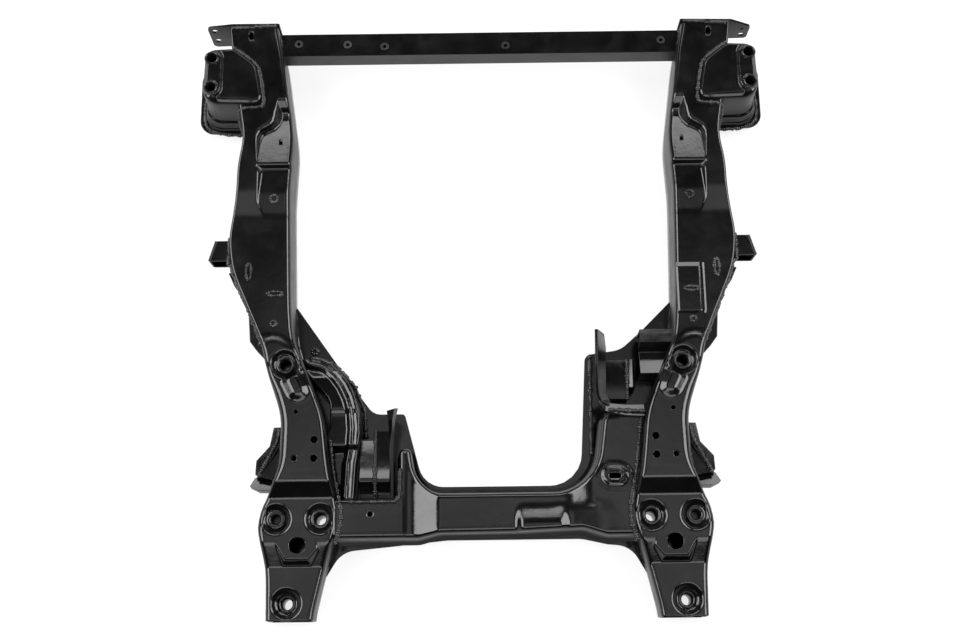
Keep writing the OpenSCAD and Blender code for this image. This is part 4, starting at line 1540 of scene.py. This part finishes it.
def folded_sheets() -> list[FoldedSheet]:
    """Every bracket that is drawn by its folds.

    Returns:
        The brackets, in the order in which they are made.
    """
    inner_half = across(-196.0, -173.0, saddle(-208.0))
    outer_half = across(-170.0, -149.0, saddle(-194.0))
    tray = across(193.0, 226.0, TRAY_PROFILE)
    tray_side = along((-86.0, -118.0, -132.0), TRAY_SECTION)
    parts = [
        FoldedSheet("left_mount_inner_half", ("left_mount_inner",), (inner_half,)),
        FoldedSheet("left_mount_outer_half", ("left_mount_outer",), (outer_half, MOUNT_WALL)),
        FoldedSheet("right_step_folded", ("right_step_bracket",), (across(247.0, 302.0, STEP_PROFILE),)),
        FoldedSheet(
            "right_torque_folded", ("right_torque_plate",), (TORQUE_WALL, TORQUE_FLANGE), sheet=5.0
        ),
        FoldedSheet("right_pad_folded", ("right_rail_pad",), (pad_rows(),)),
        FoldedSheet("right_box_folded", ("right_mount_box",), (tray, tray_side)),
    ]
    for side in Side:
        word, left = side.word, side is Side.LEFT
        parts += [
            FoldedSheet(f"{word}_stub_folded", (f"{word}_stub",), (STUB_BOX, STUB_END), mirror=left),
            FoldedSheet(f"{word}_gusset_folded", (f"{word}_gusset",), (GUSSET,), fold=1.0, mirror=left),
            FoldedSheet(
                f"{word}_arm_folded", (f"{word}_arm_bracket",), (ARM_FLANGE, ARM_WEB, ARM_FOOT), mirror=left
            ),
        ]
    return parts


@dataclass
class CupPressing:
    """Drawn front mount tower of one side: a rounded cap with a raised bolt strip and a flared foot."""

    side: Side
    outline: tuple[tuple[float, float, float], ...] = (
        (458.0, 341.0, 27.0), (455.0, 437.0, 19.0), (407.0, 439.0, 21.0), (370.0, 409.0, 30.0),
        (357.0, 338.0, 15.0),
    )
    top: float = 107.0
    edge: float = 4.0
    rear_edge: float = 13.0
    edge_section: tuple[tuple[float, float], ...] = (
        (0.12, 0.02), (0.72, 0.38), (0.86, 0.52), (0.95, 0.72), (1.0, 1.0),
    )
    foot_section: tuple[tuple[float, float], ...] = (
        (49.0, 2.0), (45.0, 3.0), (43.0, 5.0), (42.0, 7.4), (40.5, 8.6), (36.0, 9.2), (31.0, 9.4),
        (28.5, 10.0), (27.0, 11.6), (26.0, 13.0), (24.0, 13.8), (20.0, 14.0), (15.0, 14.2),
    )
    sheet: float = 3.0
    strip_x: float = 441.0
    strip_ends: tuple[float, float] = (367.0, 419.0)
    strip_radius: float = 15.5
    strip_rise: float = 5.0
    strip_flank: float = 5.0
    strip_margin: float = 2.0
    flare_way: tuple[float, float] = (0.55, -0.85)
    blend: int = 5
    bolts: tuple[tuple[float, float], ...] = ((443.0, 367.0), (443.0, 419.0))
    bolt_hole: float = 10.4
    steps: int = 150
    rings: int = 20
    first_ring: float = 0.04
    wall_steps: int = 4

    def strip(self, x: np.ndarray, y: np.ndarray) -> np.ndarray:
        """Rise of the strip that carries the two bolts.

        Args:
            x: places across, on the right side.
            y: places along.

        Returns:
            Rises in millimetres.
        """
        low, high = self.strip_ends
        away = np.hypot(x - self.strip_x, y - np.clip(y, low, high))
        reach = self.strip_radius + self.strip_margin
        return self.strip_rise * eased_share((reach - away) / self.strip_flank)

    def build(self) -> bpy.types.Object:
        """Makes the cup.

        Returns:
            The placed piece.
        """
        rim = rounded_line(self.outline, self.steps)
        out = outward_of(rim)
        middle = rim.mean(axis=0)
        outward = np.clip(out @ np.array(self.flare_way), 0.0, 1.0)
        edge = self.edge + (self.rear_edge - self.edge) * outward**2
        edge = np.mean([np.roll(edge, k) for k in range(-self.blend, self.blend + 1)], axis=0)
        inner = rim - out * edge[:, None]
        layers: list[np.ndarray] = []
        for t in np.linspace(self.first_ring, 1.0, self.rings):
            flat = middle + (inner - middle) * t
            rise = self.top + self.strip(flat[:, 0], flat[:, 1])
            layers.append(np.column_stack([flat, rise]))
        lift = self.strip(rim[:, 0], rim[:, 1])
        for reach, drop in self.edge_section:
            flat = inner + out * (edge * reach)[:, None]
            layers.append(np.column_stack([flat, self.top - edge * drop + lift * (1.0 - drop)]))
        low, flare = self.foot_section[0]
        for t in np.linspace(1.0 / self.wall_steps, 1.0, self.wall_steps):
            height = (self.top - edge) * (1.0 - t) + low * t
            layers.append(np.column_stack([rim + out * (flare * t * outward)[:, None], height]))
        for height, reach in self.foot_section[1:]:
            flat = rim + out * (reach * outward)[:, None]
            layers.append(np.column_stack([flat, np.full(self.steps, height)]))
        points = np.array(layers)
        rows, columns, _ = points.shape
        corner = np.arange(rows * columns).reshape(rows, columns)
        turned = np.roll(corner, -1, axis=1)
        quads = np.stack([corner[:-1], turned[:-1], turned[1:], corner[1:]], axis=2)
        quads = quads.reshape(-1, 4)[:, ::-1]
        spots = points.reshape(-1, 3)
        centres = spots[quads].mean(axis=1)
        keep = np.ones(len(quads), dtype=bool)
        for x, y in self.bolts:
            keep &= np.hypot(centres[:, 0] - x, centres[:, 1] - y) > self.bolt_hole
        faces = quads[keep].tolist() + [corner[0].tolist()]
        piece = mesh_object(f"{self.side.word}_cup_pressing", spots, faces)
        drop_loose(piece)
        handed(piece, self.side)
        piece.data.shade_smooth()
        thicken(piece, self.sheet)
        return place(piece, SATIN_BLACK, Slot.PAINT, [f"{self.side.word}_cup"])


@dataclass(frozen=True)
class SoftBox:
    """A soft rectangular lamp that faces the object, in metres and watts."""

    name: str
    spot: Point
    size: tuple[float, float]
    power: float

    def build(self) -> None:
        """Hangs the lamp."""
        data = bpy.data.lights.new(self.name, "AREA")
        data.shape = "RECTANGLE"
        data.size, data.size_y = self.size
        data.energy = self.power
        lamp = bpy.data.objects.new(self.name, data)
        lamp.location = self.spot
        lamp.rotation_euler = (-Vector(self.spot)).to_track_quat("-Z", "Y").to_euler()
        bpy.context.scene.collection.objects.link(lamp)


@dataclass
class Studio:
    """Pale floor, white surround, soft lamps and the camera."""

    target: Point = (-5.4, -21.0, 60.0)
    distance: float = 2133.0
    elevation: float = 74.5
    roll: float = -0.7
    lens: float = 50.0
    sensor: float = 36.0
    sight: float = 50.0
    floor_half: float = 6.0
    floor_z: float = -0.5
    ceiling: tuple[tuple[float, float], ...] = (
        (0.06, 1.0), (0.26, 0.03), (0.90, 0.03), (0.935, 0.10), (0.955, 0.40), (0.975, 1.0),
        (0.986, 1.45), (0.993, 0.8), (0.998, 0.5),
    )
    fill: float = 0.25
    floor_white: float = 0.8
    boxes: tuple[SoftBox, ...] = (
        SoftBox("left_box", (-2.3, 0.4, 2.3), (2.8, 1.7), 140.0),
        SoftBox("right_box", (2.3, 0.4, 2.3), (2.8, 1.7), 140.0),
        SoftBox("front_box", (0.0, 3.1, 2.8), (3.6, 1.1), 82.0),
        SoftBox("rear_box", (0.0, -1.9, 3.0), (3.6, 1.2), 51.0),
    )

    def camera(self) -> None:
        """Camera at the photograph's viewing angle."""
        lift = math.radians(self.elevation)
        data = bpy.data.cameras.new("camera")
        data.lens = self.lens
        data.sensor_width = self.sensor
        data.clip_end = self.sight
        eye = bpy.data.objects.new("camera", data)
        back = Vector((0.0, -math.cos(lift), math.sin(lift))) * self.distance
        eye.location = (Vector(self.target) + back) * MM
        tilt = Matrix.Rotation(math.pi / 2 - lift, 4, "X")
        turn = tilt @ Matrix.Rotation(math.radians(self.roll), 4, "Z")
        eye.rotation_euler = turn.to_euler()
        bpy.context.scene.collection.objects.link(eye)
        bpy.context.scene.camera = eye

    @staticmethod
    def _seen(graph: Graph) -> Term:
        """1 for rays that the camera sees straight, mirrored or through glass.

        Args:
            graph: the graph that asks.

        Returns:
            The share of such rays.
        """
        path = graph.add("ShaderNodeLightPath", {}, {})
        seen = Term(graph, path.outputs["Is Camera Ray"])
        for name in ("Is Glossy Ray", "Is Transmission Ray"):
            seen = seen.most(Term(graph, path.outputs[name]))
        return seen

    def world(self) -> None:
        """White surround under a dark ceiling, which adds only a little light of its own."""
        world = bpy.data.worlds.new("surround")
        world.use_nodes = True
        bpy.context.scene.world = world
        graph = Graph(world.node_tree)
        way = graph.add("ShaderNodeTexCoord", {}, {}).outputs["Generated"]
        rise = graph.add("ShaderNodeSeparateXYZ", {}, {0: way}).outputs["Z"]
        sky = graph.ramp(Term(graph, rise), self.ceiling)
        strength = (self._seen(graph) * (1.0 - self.fill) + self.fill) * sky
        shade = graph.add(
            "ShaderNodeBackground", {}, {"Color": (1.0, 1.0, 1.0, 1.0), "Strength": strength}
        )
        graph.add("ShaderNodeOutputWorld", {}, {"Surface": shade.outputs[0]})

    def floor(self) -> None:
        """Pale floor that keeps the shadow."""
        half = self.floor_half / MM
        corners = ((-half, -half), (half, -half), (half, half), (-half, half))
        points = np.array([(x, y, self.floor_z) for x, y in corners])
        piece = mesh_object("floor", points, [[0, 1, 2, 3]])
        material = bpy.data.materials.new("pale_floor")
        material.use_nodes = True
        graph = Graph(material.node_tree)
        grain = graph.noise(60.0, 3.0, graph.add("ShaderNodeTexCoord", {}, {}).outputs["Object"])
        pale = graph.mixed(grain, (0.86, 0.86, 0.86), (0.90, 0.90, 0.90))
        matt = graph.add("ShaderNodeBsdfDiffuse", {}, {"Color": pale})
        glow = graph.add("ShaderNodeEmission", {}, {"Color": (1.0, 1.0, 1.0, 1.0), "Strength": 1.0})
        both = graph.add(
            "ShaderNodeMixShader",
            {},
            {0: self._seen(graph) * self.floor_white, 1: matt.outputs[0], 2: glow.outputs[0]},
        )
        graph.add("ShaderNodeOutputMaterial", {}, {"Surface": both.outputs[0]})
        piece.data.materials.append(material)

    def build(self) -> None:
        """Sets up the whole studio."""
        bpy.context.scene.view_settings.view_transform = "Standard"
        self.camera()
        self.world()
        self.floor()
        for box in self.boxes:
            box.build()


# Parts that keep the shape of their CAD node, with the radius of their folds in millimetres.
SOFTENED = (
    SoftenedPart("left_rail_lower", 4.0), SoftenedPart("right_rail_lower", 4.0),
    SoftenedPart("front_tube", 4.0), SoftenedPart("left_end_plate", 4.0),
    SoftenedPart("right_end_plate", 4.0),
    SoftenedPart("left_cup_base", 1.0), SoftenedPart("right_cup_base", 1.0),
    SoftenedPart("crossmember_lower", 5.0),
    SoftenedPart("left_weld_nut", 1.0, finish=NUT_STEEL, slot=Slot.NUT),
    SoftenedPart("right_weld_nut", 1.0, finish=NUT_STEEL, slot=Slot.NUT),
    SoftenedPart("tube_rivet_nuts", 0.5, finish=NUT_STEEL, slot=Slot.NUT),
)


def turned_parts() -> list[TurnedPart]:
    """Collars, sleeves and blind nuts of both sides.

    Returns:
        The turned parts, left side first.
    """
    parts: list[TurnedPart] = []
    for side in Side:
        word, sign = side.word, side.value
        bolts = ((sign * 443.0, 367.0), (sign * 443.0, 419.0))
        parts += [
            TurnedPart(f"{word}_mid_sleeve", ((sign * 311.0, -97.0),), outer=14.0, bore=8.5),
            TurnedPart(f"{word}_rear_sleeve", ((sign * 305.0, -462.0),), outer=14.0, bore=8.5),
            TurnedPart(f"{word}_arm_collar", ((sign * 254.0, -336.0),), outer=14.0, bore=9.0),
            TurnedPart(f"{word}_arm_nut", ((sign * 322.0, -336.0),), outer=14.0, bore=7.0, blind=22.0),
            TurnedPart(
                f"{word}_cup_collars", bolts, outer=12.0, bore=8.0, mouth=1.6, edge=2.4, drop=0.42
            ),
        ]
    return parts


def seam(track: Track, start: float, end: float, z: float, out: float, sign: int) -> list[Point]:
    """Points along one edge of a rail.

    Args:
        track: the edge.
        start: first place along the car.
        end: last place along the car.
        z: height of the seam.
        out: how far the bead stands off the edge, outwards when positive.
        sign: side of the car.

    Returns:
        The line of the bead.
    """
    return [(sign * (float(track.at(y)) + out), float(y), z) for y in np.linspace(start, end, 24)]


def side_seams(side: Side) -> list[list[Point]]:
    """Weld lines that both sides have.

    Args:
        side: side of the car.

    Returns:
        The lines of the beads.
    """
    s = side.value
    lines: list[list[Point]] = [
        [(s * 413.0, 479.0, 100.0), (s * 387.0, 479.5, 100.0)],
        [(s * 374.0, 481.0, 100.0), (s * 342.0, 482.0, 100.0)],
    ]
    cup = [
        (408.0, 441.0, 101.0), (393.0, 431.0, 101.0), (378.0, 419.0, 101.0), (367.0, 406.0, 101.0),
        (361.0, 380.0, 101.0), (356.0, 345.0, 101.0), (358.0, 336.0, 101.0), (370.0, 334.0, 101.0),
        (388.0, 334.0, 100.0), (397.0, 331.0, 95.0), (401.0, 326.0, 60.0), (403.0, 323.0, 18.0),
    ]
    lines.append([(s * x, y, z) for x, y, z in cup])
    foot = [
        (402.0, 322.0, 16.0), (440.0, 325.0, 16.0), (458.0, 330.0, 16.0), (467.0, 340.0, 16.0),
        (470.0, 360.0, 16.0), (466.0, 430.0, 16.0),
    ]
    lines.append([(s * x, y, z) for x, y, z in foot])
    root = [(407.0, 73.0, 80.0), (407.0, 113.0, 80.0), (407.5, 113.0, 44.0)]
    lines.append([(s * x, y, z) for x, y, z in root])
    lines.append([(s * 407.0, 73.0, 80.0), (s * 405.0, 73.0, 44.0)])
    lines.append(seam(OUTER, -62.0, 66.0, 86.0, 0.0, s))
    lines.append(seam(OUTER, -283.0, -200.0, 58.5, 1.0, s))
    for z in (46.0, 79.0):
        lines.append([(s * 333.0, 438.0, z), (s * 336.0, 474.0, z)])
    lines.append([(s * 333.0, 437.0, 47.0), (s * 333.0, 437.0, 79.0)])
    return lines


# Plug weld of the lower sheet, and the spacing, half width and half length of a plug weld's drops.
SHEET_PLUG: Point = (-275.0, -58.0, 12.5)
PLUG_RADIUS = 4.5
PLUG_BEAD = (3.4, 3.0, 2.4)


def cross_seams() -> list[list[Point]]:
    """Weld lines of the crossmember and of the brackets that stand on it.

    Returns:
        The lines of the beads.
    """
    lines = [
        seam(INNER, -372.0, -303.0, 68.0, -5.0, -1),
        seam(INNER, -372.0, -185.0, 65.0, -5.0, 1),
        seam(INNER, -300.0, -215.0, 62.0, -4.0, -1),
        [(-206.0, -311.0, 68.0), (-140.0, -311.0, 68.0), (-133.0, -303.0, 68.0), (-132.0, -262.0, 68.0)],
        [(-171.5, -300.0, 39.0), (-171.5, -274.0, 61.0), (-171.5, -232.0, 45.0), (-171.5, -196.0, 38.0)],
        [
            (-262.0, -73.0, 13.0), (-242.0, -81.0, 13.0), (-208.0, -118.0, 13.0),
            (-192.0, -160.0, 13.0), (-190.0, -200.0, 13.0),
        ],
        [(172.0, -70.0, 12.0), (170.0, -230.0, 12.0)],
        [(226.5, -90.0, 47.0), (226.5, -150.0, 48.0)],
        [(196.0, -172.0, 71.0), (250.0, -175.0, 71.0)],
    ]
    turns = np.linspace(0.0, 2.0 * math.pi, 13)
    px, py, pz = SHEET_PLUG
    ring = [(px + PLUG_RADIUS * math.cos(t), py + PLUG_RADIUS * math.sin(t), pz) for t in turns]
    lines.append(ring)
    arm = ((320.0, -198.0, 63.0), (324.0, -216.0, 61.0), (353.0, -266.0, 49.0))
    for side in Side:
        lines.append([(side.value * x, y, z) for x, y, z in arm])
    return lines


def slot_line(side: Side, x: float, y: float, half: tuple[float, float]) -> list[Point]:
    """Closed line of beads round a plug weld on a rail.

    Args:
        side: the rail.
        x: its place across, on the right side.
        y: its place along.
        half: half of its breadth and of its length.

    Returns:
        The line, on the rail's top sheet.
    """
    turns = np.linspace(0.0, 2.0 * math.pi, 19)
    xs = x + half[0] * np.cos(turns)
    ys = y + half[1] * np.sin(turns)
    zs = RailPressing(side).height(xs, ys)
    return [(side.value * float(a), float(b), float(c)) for a, b, c in zip(xs, ys, zs)]


def plug_seams(side: Side) -> list[list[Point]]:
    """Plug welds on one rail.

    Args:
        side: the rail.

    Returns:
        The closed lines of their beads.
    """
    lines = [
        slot_line(side, 373.0, 55.0, (4.0, 14.0)), slot_line(side, 331.0, -31.0, (4.5, 4.5)),
        slot_line(side, 336.0, 178.0, (6.0, 6.0)),
    ]
    # On the right side this one stands on the raised pad.
    slot = slot_line(side, 330.0, 18.0, (12.0, 3.5))
    lift = 4.0 if side is Side.RIGHT else 0.0
    lines.append([(x, y, z + lift) for x, y, z in slot])
    return lines


def main() -> None:
    """Builds every sub-assembly in order."""
    logging.basicConfig(level=logging.INFO, format="%(message)s")
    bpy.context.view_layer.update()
    Studio().build()
    for side in Side:
        RailPressing(side).build()
        CupPressing(side).build()
        WeldBeads(f"{side.word}_weld_beads", side_seams(side), seed=side.value + 4).build()
        plugs = plug_seams(side)
        WeldBeads(f"{side.word}_plug_welds", plugs, *PLUG_BEAD, seed=side.value + 21).build()
    CrossmemberPressing().build()
    ReinforcementPressing().build()
    WeldBeads("crossmember_weld_beads", cross_seams(), seed=11).build()
    for bracket in folded_sheets():
        bracket.build()
    for softened in SOFTENED:
        softened.build()
    for turned in turned_parts():
        turned.build()


if __name__ == "__main__":
    main()
